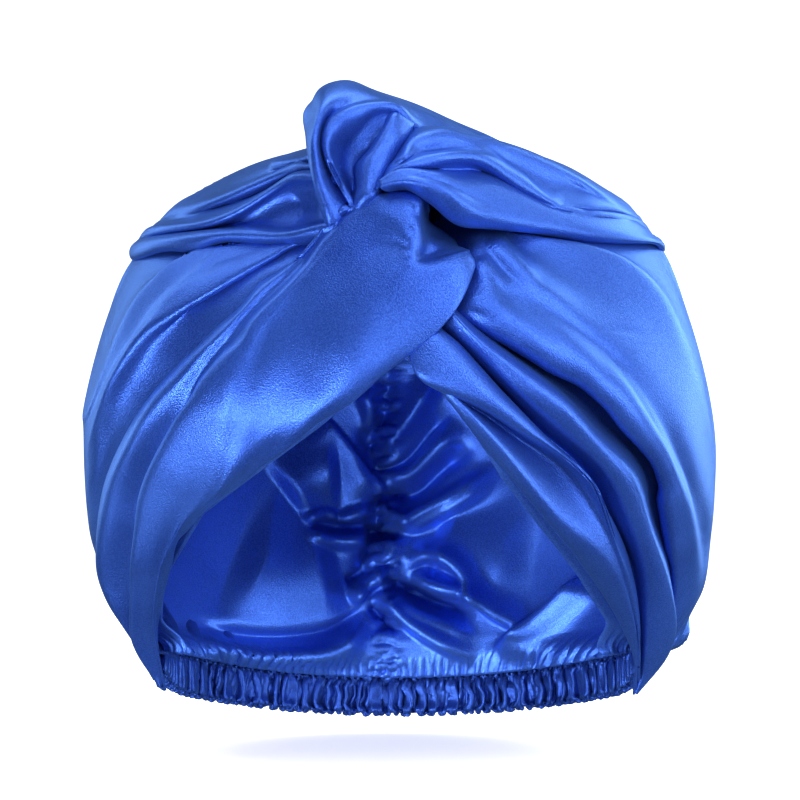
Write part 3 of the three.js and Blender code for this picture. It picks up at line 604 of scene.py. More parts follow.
bagHalves = {
    "columns": 97, "rows": 225, "thick": 0.9, "seed": 21, "flat": (0.46, 0.34), "area": 0.113,
    # each line: its front run as x, z, off, and its height at the centre back (None follows the casing)
    "right": {
        "cUnder": ([(18, -29.5, 0), (24, -32, 1), (31, -36.5, 2), (37.5, -40.5, 2.5), (44.5, -44.5, 2.5),
                    (51.5, -48, 2.5), (58.5, -51, 2.5), (65.5, -55.5, 2), (72.5, -61.5, 2), (79.5, -68, 1.5),
                    (86, -76, 1.5), (91, -84.5, 1), (95, -94, 0.5), (97.5, -105, 0), (99, -116, 0),
                    (100, -127, 0), (99, -138.5, 0), (95.5, -149, 0)], None),
        "fold": ([(17, -32, 7), (21, -34.5, 9), (25.5, -37, 9.5), (30.5, -40, 9), (36, -43, 8.5),
                  (41, -46, 8.5), (46, -49, 8), (51, -52, 8), (56.5, -54.5, 8), (61.5, -57, 7.5),
                  (66, -60.5, 7.5), (70.5, -64.5, 7), (75.5, -70.5, 6.5), (80, -75, 6), (84.5, -79.5, 5.5),
                  (88.5, -84.5, 5), (91, -90, 4), (93, -97.5, 2.5), (95, -106.5, 1.5), (97, -115.5, 1.5),
                  (99, -127, 1), (98.5, -138.5, 0.5), (95.5, -150, 0)], -166),
        "crest": ([(18, -27, 8), (24, -29, 14), (30.5, -33, 16), (37.5, -37, 15.5), (44, -41, 15),
                   (51, -45, 14), (58, -48, 13.5), (65, -52, 13), (71, -57, 12), (77.5, -63, 11),
                   (83.5, -70.5, 10), (89.5, -78.5, 8.5), (94, -86.5, 7.5), (98.5, -96.5, 6),
                   (102.5, -106.5, 4.5), (105, -118, 3), (106, -129.5, 2), (104.5, -141, 0.5)], -150),
        "flank": ([(10.5, -14.5, -3), (18, -15, 3), (25.5, -15.5, 12), (30, -20, 12.5), (34, -24, 12.5),
                   (40.5, -27, 12.5), (46, -30, 12), (53, -34.5, 11), (60, -39, 10), (68.5, -45.5, 9),
                   (76, -51.5, 8), (83, -59.5, 7), (89.5, -69.5, 6), (95, -80, 4.5), (100.5, -90.5, 2.5),
                   (105.5, -103.5, 1), (109.5, -116.5, -0.5), (111.5, -130.5, -1.5)], -124),
        "alpha": ([(11.5, -7, -3), (19, -7, 3), (27, -8, 11), (34.5, -12.5, 12), (41, -19, 12.5),
                   (48, -24, 12), (55, -29, 11), (61.5, -34.5, 10), (69, -39.5, 9), (76.5, -45, 8),
                   (85, -52.5, 6.5), (92.5, -62, 5), (99, -73.5, 4), (104.5, -85, 2.5), (110, -98, 0.5),
                   (114, -112, -1.5)], -98),
        "beta": ([(12.5, -2.5, -3), (21, -3, 3), (29, -3.5, 7), (36.5, -8.5, 7), (45, -14.5, 7),
                  (55, -21, 7), (69.5, -28, 6), (84, -34.5, 5), (93, -43, 4), (101, -55, 3),
                  (106.5, -67.5, 1.5), (111, -80, 0), (115.5, -93.5, -1.5)], -72),
        "gamma": ([(13, -0.5, -3), (21.5, -1, 2), (29.5, -2, 5), (41.5, -5.5, 6.5), (55.5, -9.5, 7),
                   (69.5, -13, 6.5), (82.5, -18.5, 6), (92, -27, 5), (98.5, -37, 3.5), (104, -48, 2),
                   (108.5, -58.5, 0.5), (112.5, -71, -1)], -45),
        "seam": ([(14, 2, -3), (21.5, 1, 1), (28.5, -0.5, 2), (41.5, -2.5, 2), (56, -4.5, 1),
                  (70.5, -5.5, 0), (86, -5, -1), (94.5, -4.5, -2)], -10),
        "hidden": ([(14, 8, -3), (25, 8, -1), (47, 6, 0), (66, 5, -1), (80, 5, -2), (86, 5, -2)], 0),
    },
    "left": {
        "under": ([(-26, -12, 4), (-40, -28, 1.5), (-56, -45, 0.6), (-74, -62, 0), (-88, -80, 0),
                   (-96, -98, 0), (-99, -118, 0), (-98, -138, 0), (-94, -150, 0)], None),
        "valley": ([(-30, -6, 8), (-33, -10.5, 7.5), (-38, -13.5, 7), (-44.5, -16.5, 6.5), (-50, -20, 6),
                    (-57, -27, 5), (-64, -33.5, 4), (-71, -40.5, 2.5), (-78, -46.5, 1.5), (-84, -52, 0.5),
                    (-90, -58.5, 0), (-97, -67.5, 0), (-102.5, -76, 0), (-107, -86.5, 0), (-110, -98, 0),
                    (-112.5, -109.5, -0.5)], -158),
        "lipUnder": ([(-31, -6, 6), (-38, -9, 5), (-43, -11, 4.5), (-51.5, -16.5, 4.5), (-58.5, -20.5, 4.5),
                      (-68.5, -26.5, 5), (-74.5, -32, 5), (-80, -37.5, 4.5), (-86, -43.5, 4),
                      (-91, -50, 3.5), (-96, -56.5, 3), (-101, -65, 2.5), (-105, -72.5, 2),
                      (-108, -81.5, 1.5), (-111.5, -91, 1), (-113.5, -100.5, 0)], -140),
        "ridge": ([(-30.5, -7.5, 10), (-37.5, -9.5, 8.5), (-42.5, -12.5, 8), (-51, -17.5, 7.5),
                   (-58, -21.5, 7.5), (-68.5, -27.5, 7.5), (-75.5, -31.5, 7.5), (-82, -35.5, 7.5),
                   (-88, -40, 7.5), (-93, -45.5, 7.5), (-97.5, -51.5, 7), (-102, -58.5, 6),
                   (-105.5, -65.5, 4.5), (-109, -74.5, 3), (-112, -85.5, 1.5), (-114, -95, 0)], -122),
        "upperA": ([(-34, -6, 8), (-42.5, -9.5, 8), (-51, -13, 7.5), (-60, -16.5, 7.5), (-68.5, -21, 7.5),
                    (-76.5, -26, 7.5), (-83.5, -32, 7.5), (-90.5, -38.5, 7.5), (-96.5, -46.5, 7),
                    (-102.5, -56, 5.5), (-108, -67.5, 3.5), (-112.5, -79, 1.5)], -95),
        "groove": ([(-42.5, -9, 7), (-51.5, -10.5, 6.5), (-58.5, -12.5, 6), (-64.5, -14.5, 5.5),
                    (-72, -19, 5.5), (-79, -24, 5.5), (-86, -30, 5), (-92, -38, 4.5), (-98.5, -47, 4),
                    (-105, -57, 3), (-111, -68, 2)], -75),
        "upperB": ([(-44.5, -8.5, 6), (-55, -8.5, 6), (-63.5, -10, 5.5), (-72.5, -13, 5), (-81.5, -18.5, 5),
                    (-88.5, -25, 4.5), (-95, -34, 4), (-101, -44.5, 3.5), (-106, -55, 3),
                    (-110.5, -64, 2.5)], -52),
        "seam": ([(-34, -5.5, 4), (-44.5, -8, 3), (-55, -7, 2), (-66, -8, 1), (-77, -9, 0), (-89, -9, -1.5),
                  (-98.5, -11.5, -2.5)], -10),
        "hidden": ([(-34, 4, 3), (-50, 4, 0), (-66, 4, -1), (-80, 3, -2), (-88, 2, -2)], 0),
    },
}


def roundToBack(line, side, backHeight):  # carries a front line on round the side to the centre back
    last = line[-1]
    wide = bagSizes(last[2])[0]
    start = min(abs(math.asin(np.clip(last[0] / wide, -0.98, 0.98))), 1.35)
    turns = np.linspace(start, math.pi, 12)[2:]
    share = (turns - start) / (math.pi - start)
    if backHeight is None:
        more = gatherLine(turns * side)
    else:
        z = last[2] + (backHeight - last[2]) * ease(share)
        more = bagPoint(turns * side, z)
    return np.concatenate([line, more])


def makeBagHalf(side, name):
    table = bagHalves[name]
    lines = [roundToBack(offBag(front), side, height) for front, height in table.values()]
    return loft(lines, bagHalves["columns"], bagHalves["rows"])


def settleBag(grid, out, name, seed):
    rows, columns = grid.shape[:2]
    v, u = unitGrid(rows, columns)
    behind = ease((v - 0.44) / 0.25)
    side = ease((v - 0.3) / 0.2)
    around = 0.5 * hill(u, 0.14) * behind + 0.14 * hill(u - 0.86, 0.04) * side + 0.003 + 0.02 * behind
    upright = 0.5 * hill(v - 1, 0.1) + 0.02 * behind + 0.003
    shaped = grid + out * foldMarks(grid, bagMarks[name])[..., None]
    push = (0.3 + 0.9 * behind) * ripples((rows, columns), 3, 6, seed) * ease(u * 8) * ease((1 - u) * 6)
    hold = 0.05 * (1 - behind) + 0.005
    return settle(shaped, out, upright, around, pinnedRim(rows, columns), push, (60, 50, 36, 16), hold,
                  0.15, -4, 9)


def makeBag():
    pieces = []
    for side, name, title in ((1, "right", "cap_body"), (-1, "left", "half")):
        grid = makeBagHalf(side, name)
        settled = settleBag(grid, outwards(grid) * side, name, bagHalves["seed"] + (side < 0))
        pieces.append(clothSheet(title, settled, 0, flip=side < 0))
    bm = bmesh.new()
    for piece in pieces:
        bm.from_mesh(piece.data)
    bmesh.ops.remove_doubles(bm, verts=bm.verts, dist=mergeUnder["halves"])
    bm.to_mesh(pieces[0].data)
    bm.free()
    bpy.data.objects.remove(pieces[1])
    addWall(pieces[0], bagHalves["thick"])
    return pieces[0]


finish(makeBag(), outerSatin, "cap_body")
print("bag made")

# The over-wraps, from the twist over the crown: x, y, z down to the side, then round to the centre back

wraps = {
    "columns": 145, "rows": 201, "thick": 0.9, "seed": 31, "backZ": -10, "flat": (0.11, 0.27), "area": 0.025,
    "right": [
        [(-4, -108, 9), (2, -104, 8.5), (12, -102, 6.5), (21, -98, 2.5), (36, -88, 0.5), (49.5, -79, -2.5),
         (65, -65, -3.5), (78, -50, -4), (88, -32, -3.5), (93, -8, -4)],
        [(-6, -113, 9), (0, -114, 11), (6.4, -114, 8.3), (11.4, -113, 5.4), (17.1, -111, 1.1),
         (22.3, -106.5, -1.6), (27.4, -102, -2.4), (34.5, -96, -3), (48.7, -84, -4), (63.2, -71.5, -5.5),
         (78, -57, -5.5), (90, -38, -4.8), (96, -9, -6)],
        [(-6.5, -114.5, 9.5), (1, -116, 10.9), (7, -117, 10.2), (12, -116.5, 8.5), (17, -115, 6.2),
         (21.5, -111.5, 3.5), (25.6, -107.5, 1), (30.8, -102, -0.5), (41.4, -93, -1.8), (55.7, -80.5, -3.1),
         (70.4, -66.5, -3.8), (86, -44, -3.4), (95.5, -9, -4.6)],
        [(-6.5, -114, 10.5), (1, -115, 12.9), (7, -115, 12.3), (13.7, -114, 10.7), (20.5, -110, 7.9),
         (27.3, -105, 5.5), (37.8, -96, 4.4), (48.4, -86, 3.3), (59.3, -76, 1.4), (70.5, -63, 1.5),
         (82.2, -46, 0.5), (92.5, -8, -2.5)],
        [(-7, -113.5, 10.5), (-3, -113.5, 13.5), (1.7, -114, 14.7), (8.7, -113.5, 14), (13.8, -112, 13.2),
         (18.8, -109, 11.7), (24, -105, 11.3), (30.9, -99, 11), (36.8, -94, 9.6), (45, -87, 6.6),
         (52.1, -81, 4.2), (66.7, -68, 2.9), (78.2, -52, 2.3), (90.5, -8, 0)],
        [(-7, -112, 9.5), (-3, -112, 13), (2, -111, 15.2), (7.1, -108, 15.4), (13.9, -104, 15.7),
         (19, -100, 16), (23.5, -97, 16.5), (27.6, -95, 16), (32.8, -93, 14.1), (38, -90, 11.9),
         (45, -85, 8.5), (52.8, -81, 5.3), (66.7, -67, 3.9), (78.3, -51, 3.3), (89.5, -8, 1.5)],
        [(-7, -111.5, 9.3), (-3, -111.5, 13.5), (2, -112, 15.8), (8.7, -110, 17), (15.5, -107, 18.5),
         (22.3, -103, 19.2), (27, -100, 18.4), (31.6, -97, 16.5), (36.1, -94, 13.7), (41.4, -90, 10.5),
         (48, -85, 7.8), (54, -80, 5.7), (66.4, -67, 4.6), (88.8, -8, 2.5)],
        [(-7, -111, 9), (-3, -112, 14), (2, -113, 16.4), (7, -111, 18.3), (13.8, -109, 20), (20.6, -105, 21),
         (27.5, -101, 20.3), (32.6, -97, 18.2), (37.9, -93, 15.1), (43.2, -89, 12.3), (48.5, -84, 8.9),
         (54, -79, 6.5), (66, -68, 5.2), (88, -8, 3.5)],
        [(-7.5, -110, 8.7), (-3.5, -109.5, 13.5), (1.7, -109, 17), (4.4, -106, 19.6), (8.8, -103, 21),
         (13.9, -99.5, 22.1), (19, -97, 22.7), (24.2, -95, 22.5), (29.3, -93, 22), (34.6, -87.5, 20),
         (39.8, -83.5, 17.3), (45.1, -79.5, 14.4), (50.4, -75.5, 12.4), (55.8, -71.5, 11.4),
         (61.3, -66.5, 11), (70.7, -60, 7.8), (86.5, -8, 5)],
        [(-7.5, -109, 8.5), (-4.2, -107, 13.5), (-1, -106.5, 17.5), (1.3, -108, 18.8), (4.4, -104, 22.5),
         (8.8, -101, 24.8), (13.9, -98, 26.3), (20.8, -94, 26.7), (27.7, -90, 25.6), (34.7, -86, 23.9),
         (43.5, -80, 20.9), (52.4, -74, 17.9), (61.5, -67, 14.8), (70.8, -58, 10.4), (81.5, -30, 8),
         (84, -8, 6.8)],
        [(-7.5, -108, 8.5), (-4.5, -104, 14), (-1.5, -101.5, 19), (1, -100, 22.8), (3.7, -96, 27.2),
         (7.2, -92, 29.9), (11.3, -89, 30.8), (17.5, -84, 29.9), (24.6, -78, 28.3), (35.2, -70, 26.5),
         (46, -60, 24.1), (57.2, -48, 20.8), (69, -28, 14.8), (77, -8, 11)],
        [(-7.5, -107, 8.5), (-5, -102.5, 14), (-2.5, -99, 19.5), (-0.5, -96, 24), (0, -92, 27),
         (3.5, -87, 31), (12, -80, 31), (24, -70, 29), (37, -58, 26.5), (50, -42, 21.3), (61, -26, 18.5),
         (71, -8, 15.8)],
        [(-7.5, -106, 8.5), (-5.5, -101.5, 14), (-3.5, -97, 20), (-2, -92, 26), (-1, -86, 32), (1, -80, 35),
         (9, -72, 35), (20, -61, 32.5), (34, -45, 28), (47, -28, 25), (60, -8, 21.3)],
        [(-7.5, -105, 8.5), (-6, -100, 15), (-5, -95, 22), (-4, -89, 29), (-3, -82, 35), (0, -70, 37),
         (6, -58, 36.5), (16, -42, 32.5), (28, -26, 30.7), (41, -8, 29)],
        [(-7.5, -104, 8.5), (-7, -98, 16), (-6.5, -92, 24), (-6, -85, 31), (-5, -78, 36), (-4, -62, 36.5),
         (0, -44, 34.5), (4, -26, 33), (9, -8, 32)],
    ],
    "left": [
        [(-20, -92, -3), (-40, -81, -5), (-52, -76.5, -4.5), (-61, -71, -4), (-69, -65, -5.5),
         (-80, -53, -5.5), (-90, -33, -6), (-94, -9, -6)],
        [(-22, -104, -6), (-28, -100, -7), (-42, -87.5, -8), (-53, -81, -7), (-61, -75.5, -6.5),
         (-69, -70, -8.5), (-80, -57.5, -8.5), (-91.5, -37, -9.5), (-98, -10, -9.5)],
        [(-21, -106, -3), (-27, -103, -4), (-42, -91, -6), (-55, -82.5, -5), (-67, -73.5, -5.5),
         (-79, -60.5, -6.5), (-91.5, -38, -7), (-98.5, -9, -7.5)],
        [(-20, -102, 0), (-27, -97, -1.5), (-34, -88, -2.5), (-42, -81, -2.5), (-50, -75, -2),
         (-61, -69, -2.5), (-76, -56, -3.5), (-89.5, -33, -4), (-96.5, -9, -4.5)],
        [(-20, -98, 6), (-27, -92, 6.5), (-35, -82, 6.5), (-42, -77, 5), (-48, -74, 2.5), (-57, -69, 0),
         (-66, -63, -1.5), (-78, -50, -2.5), (-90, -29, -3), (-95.5, -8, -3.5)],
        [(-20, -98, 11), (-28, -93, 12), (-35, -86, 12.5), (-41, -80, 10.5), (-47, -76, 7), (-56, -72, 2.3),
         (-66, -65, -1), (-78, -52, -2), (-90, -30, -2.5), (-95, -8, -3)],
        [(-20, -104, 12), (-28, -99, 13), (-35, -92, 14), (-41, -84, 12), (-47, -79, 8.5), (-56, -75, 3.5),
         (-66, -68, 0), (-78, -54, -1), (-90, -31, -1.5), (-94.5, -8, -2)],
        [(-20, -101, 14), (-28, -95, 15.2), (-36, -87, 15.2), (-42, -79, 12.5), (-48, -73, 9.2),
         (-57, -69, 4.8), (-67, -62, 1.5), (-79, -48, 0.3), (-90, -28, -0.3), (-93.5, -8, -1)],
        [(-20, -96, 15), (-28, -89, 16), (-37, -77, 16), (-46, -68, 12.2), (-54, -62, 9), (-65, -54, 5.8),
         (-76, -43, 3), (-86, -27, 1.5), (-91.5, -8, 0.5)],
        [(-20, -97, 16.5), (-28, -92, 17.3), (-38, -79, 17), (-49, -69, 13.3), (-59, -61, 9.5),
         (-71, -49, 6), (-82, -30, 3.8), (-89.5, -8, 2)],
        [(-20, -93, 19), (-28, -86, 19), (-38, -72, 18.5), (-51, -60, 14.8), (-63, -50, 11), (-74, -39, 8),
         (-83, -24, 5.8), (-87, -8, 4)],
        [(-20, -92, 21), (-29, -84, 21), (-41, -67, 19.5), (-56, -50, 15.5), (-71, -35, 10.5),
         (-81, -20, 8.5), (-84.5, -8, 6.5)],
        [(-18, -86, 24), (-29, -76, 23.5), (-38, -58, 23.5), (-52, -40, 20.5), (-66, -26, 15.8),
         (-77.5, -8, 11.8)],
        [(-14, -80, 27), (-26, -66, 26.5), (-34, -46, 26.5), (-44, -28, 25), (-57, -8, 22.5)],
        [(-8, -74, 30), (-16, -60, 29), (-20, -42, 30), (-24, -24, 30), (-29, -8, 29.5)],
        [(0, -72, 32), (3, -58, 31), (6, -40, 30.5), (11, -24, 30.2), (14, -8, 30)],
    ],
}


wrapMarks = {
    "right": {
        "small": ([(53, 6), (61, 5), (68, 3.5)], (1.6, 1.6), (0.6, 0.6), 0),
    },
    "left": {
        "streakA": ([(-37, 8), (-31, 4), (-26, 3)], (1.5, 1.5), (1.4, 1.2), 0.2),
        "streakB": ([(-36, 3), (-30, 0), (-25, -1)], (1.5, 1.5), (1.2, 1), 0.2),
        "stripe": ([(-46, 22), (-38, 22), (-31, 22)], (1.6, 1.6), (1, 1), 0.2),
        "stripeDip": ([(-46, 19.5), (-38, 19.5), (-31, 19.5)], (1.8, 1.8), (-1.6, -1.6), 0),
    },
}


def overCrown(front, side, share):  # carries a wrap's line on over the crown to the centre back
    line = np.array(front, float)
    last = line[-1]
    start = 0.47
    s = np.array([0.52, 0.6, 0.7, 0.8, 0.89, 0.96, 1.0])
    x = last[0] * np.sin(math.pi * s) / math.sin(math.pi * start)
    y = -0.9 * bag["back"] * np.cos(math.pi * s) * (0.86 + 0.14 * s)
    y = last[1] + (y - y[0] + 14) * (104 - last[1]) / (y[-1] - y[0] + 14)
    over = last[2] - domeTop(last[0], last[1])
    clear = 0.2 if side < 0 and share == 1 else 2  # the last line of this side tucks under the other wrap
    z = domeTop(x, y) + over + (clear - over) * ease((s - start) / 0.3)
    z = z + (wraps["backZ"] - 8 + 22 * share - z) * ease((s - 0.8) / 0.2)
    return np.concatenate([line, np.stack([x, y, z], 1)])


def settleWrap(grid, out, push, marks):
    rows, columns = grid.shape[:2]
    v = unitGrid(rows, columns)[0]
    across = 0.004 + 0.1 * ease((v - 0.45) / 0.2)
    along = 0.004 + 0.25 * hill(v - 1, 0.08)
    hold = 0.05 * (1 - ease((v - 0.4) / 0.2)) + 0.005
    shaped = grid + out * marks[..., None]
    return settle(shaped, out, across, along, pinnedRim(rows, columns), push, (50, 40, 24), hold, 0.15, -5, 7)


def makeWrap(side, name, title):
    rows = wraps[name]
    lines = [overCrown(row, side, i / (len(rows) - 1)) for i, row in enumerate(rows)]
    grid = loft(lines, wraps["columns"], wraps["rows"], -0.4)
    normal = outwards(grid) * side
    v, u = unitGrid(*grid.shape[:2])
    fine = 0.35 * ripples(grid.shape[:2], 6, 3, wraps["seed"] + side)
    swells = 1.4 * np.sin(2 * math.pi * (3.6 * u + 0.3)) * ease((v - 0.4) / 0.2) * ease((1 - v) * 6)
    edge = ease(u * 10) * ease(v * 10)
    front = ease((0.5 - v) / 0.1)
    marks = foldMarks(grid, wrapMarks[name]) * front
    settled = settleWrap(grid, normal, edge * (fine + swells), marks)
    return clothSheet(title, settled, wraps["thick"], flip=side < 0)


for side, name in ((1, "right"), (-1, "left")):
    title = "over_wrap_" + name
    finish(makeWrap(side, name, title), outerSatin, title)
print("over-wraps made")

# The fold that stands above the crown: lines from the twist up and over, from its -X edge inwards

lobe = {
    "columns": 150, "rows": 130, "thick": 0.9, "seed": 41, "flat": (0.07, 0.13), "area": 0.0075,
    "lines": [
        [(-22, -92, 0), (-27, -82, 10), (-29, -70, 18), (-24, -58, 26), (-14, -48, 31), (0, -42, 34),
         (15, -40, 34), (30, -42, 30), (40, -46, 25)],
        [(-24, -96, -1), (-29, -90, 12), (-30.5, -84, 27), (-32.3, -79, 36.5), (-27, -70, 42),
         (-16, -58, 46), (-4, -54, 44.5), (10, -52, 40), (24, -52, 34), (34, -54, 29)],
        [(-23.4, -98, -5.6), (-24.7, -101, -1.3), (-27.8, -100, 9.2), (-30.2, -98, 19.6), (-31, -96, 26.5),
         (-30.1, -92, 33.6), (-28.8, -88, 40.2), (-26.9, -82, 44.5), (-22.5, -76, 47.5), (-17, -72, 48.3),
         (-10.8, -70, 46), (-3.8, -69, 43.3), (3.8, -68, 39.9), (12.6, -66, 36.3), (21.4, -64, 32.2),
         (27, -62, 29.6)],
        [(-20, -103, -3.5), (-21.6, -106, 0.7), (-24, -106, 7.1), (-26.3, -105.5, 12.9), (-27.7, -105, 19),
         (-28.4, -104, 24.8), (-27.8, -102, 30.1), (-26.1, -99, 35.1), (-22.8, -95, 39.2), (-18.5, -91, 42),
         (-13.4, -88, 42.9), (-8.2, -86, 42.1), (-2.4, -84, 40.9), (3.8, -82, 37.6), (10.7, -79, 34.5),
         (19.4, -76, 30.9), (26.1, -72, 28.1)],
        [(-15, -100, 0.4), (-17.2, -103, 4.3), (-21, -101, 10.9), (-24.1, -100, 16), (-26.1, -99, 20.5),
         (-27.2, -98, 25), (-26.5, -97, 29.8), (-24.5, -96, 33.7), (-20.8, -95, 36.5), (-16, -94, 38.4),
         (-11.3, -92.5, 39.4), (-6.5, -91, 39.9), (-1.7, -89, 39.4), (3.1, -87, 36.2), (8.6, -84, 32.6),
         (15.9, -81, 30.1), (23.9, -76, 27.8)],
        [(-14.3, -103, 0.5), (-16.5, -106, 4.4), (-19.6, -106.5, 9.8), (-22.3, -106, 14.9),
         (-24.3, -105, 20), (-25, -104, 24.2), (-24, -103, 28.6), (-21.7, -102, 32.1), (-18, -101, 34.9),
         (-13.6, -99, 37), (-9.2, -97.5, 38.1), (-4.4, -96, 38.4), (-0.3, -94, 37.2), (2.4, -92, 34),
         (5.5, -89, 30.8), (10.6, -86, 29), (17.6, -82, 27.3)],
        [(-14.5, -101, 1.6), (-16.6, -104, 5.6), (-18.6, -102, 9.4), (-20.7, -100, 14), (-21.7, -98.5, 18.5),
         (-21.4, -97.5, 22.3), (-19.7, -97, 26.1), (-17, -97, 29.5), (-13.9, -97, 32.5), (-10.5, -96.5, 35),
         (-6.8, -96, 36.4), (-3.1, -94.5, 36.2), (0, -92.5, 34), (2.1, -90, 30.8), (4.5, -87, 28.3),
         (8.9, -84, 26.8)],
        [(-16, -95, 0.9), (-16.7, -98, 5.3), (-17.4, -95, 9.5), (-18.4, -93.5, 14.4), (-18.8, -93, 18.9),
         (-17.7, -93, 22.6), (-15.4, -93.5, 26), (-12.6, -94, 29.4), (-9.9, -94.5, 32.4), (-7.2, -95, 34.8),
         (-4.1, -94.5, 35.5), (-1.4, -93, 33.9), (0.7, -90.5, 31), (1.7, -88, 27.8), (3.8, -85, 25.3)],
        [(-16.3, -95, 0.4), (-16, -98, 4.9), (-15.7, -94.5, 8.9), (-15.4, -93, 13.8), (-15.7, -92.5, 17.9),
         (-14, -92.5, 21), (-11.3, -93, 24), (-8.9, -93.5, 27.4), (-6.5, -94, 31.4), (-4.8, -94.5, 34.5),
         (-2.7, -94, 34.8), (-0.7, -92, 33), (0.7, -90, 30.1), (1.7, -87.5, 26.8), (3.1, -84.5, 24.3)],
        [(-16.2, -102, 0.4), (-15.2, -105, 4.8), (-14.2, -104, 9), (-13.9, -103, 13.4), (-13.2, -102, 17.6),
         (-10.8, -101, 21), (-8.1, -100, 24.8), (-5.8, -98.5, 29), (-3.7, -97, 32.9), (-2.4, -95.5, 35.1),
         (-0.7, -94, 34.2), (1, -92, 31.3), (2.1, -89.5, 28), (2.7, -86.5, 24.9)],
        [(-13.5, -106, 1.6), (-12.4, -109, 6), (-11.1, -108, 11.1), (-9.4, -106.5, 16.6), (-7.1, -105, 21.7),
         (-4.4, -103, 26.9), (-2.4, -100.5, 31.2), (-1, -98, 34.2), (0.7, -95, 33.7), (1.7, -92.5, 31.2),
         (2.4, -90, 28), (2.7, -87, 24.8)],
        [(-11.6, -106, 2.9), (-9.8, -109, 7), (-7.8, -107, 11.5), (-5.4, -105, 16.3), (-2.7, -102.5, 21.6),
         (-0.3, -100, 26.9), (1, -97.5, 30.8), (1.7, -95, 33.1), (2.4, -92.5, 30.9), (3.1, -90, 27.7),
         (3.4, -87, 24.5)],
        [(-9, -101, 4.2), (-7.1, -104, 8.3), (-4.7, -100, 13.3), (-1.7, -97, 18.9), (1, -94.5, 24.2),
         (3.1, -92.5, 29.2), (3.8, -91, 32), (4.5, -89, 31.2), (4.8, -87, 27.9), (4.8, -84, 24.7)],
    ],
}


def makeLobe():
    grid = loft([np.array(line, float) for line in lobe["lines"]], lobe["columns"], lobe["rows"])
    normal = -outwards(grid)
    grid = grid + normal * (0.2 * ripples(grid.shape[:2], 4, 3, lobe["seed"]))[..., None]
    return clothSheet("twist_lobe", grid, lobe["thick"], flip=True)


finish(makeLobe(), outerSatin, "twist_lobe")
print("lobe made")

# The lining, seen through the face opening, ruched along its centre seam

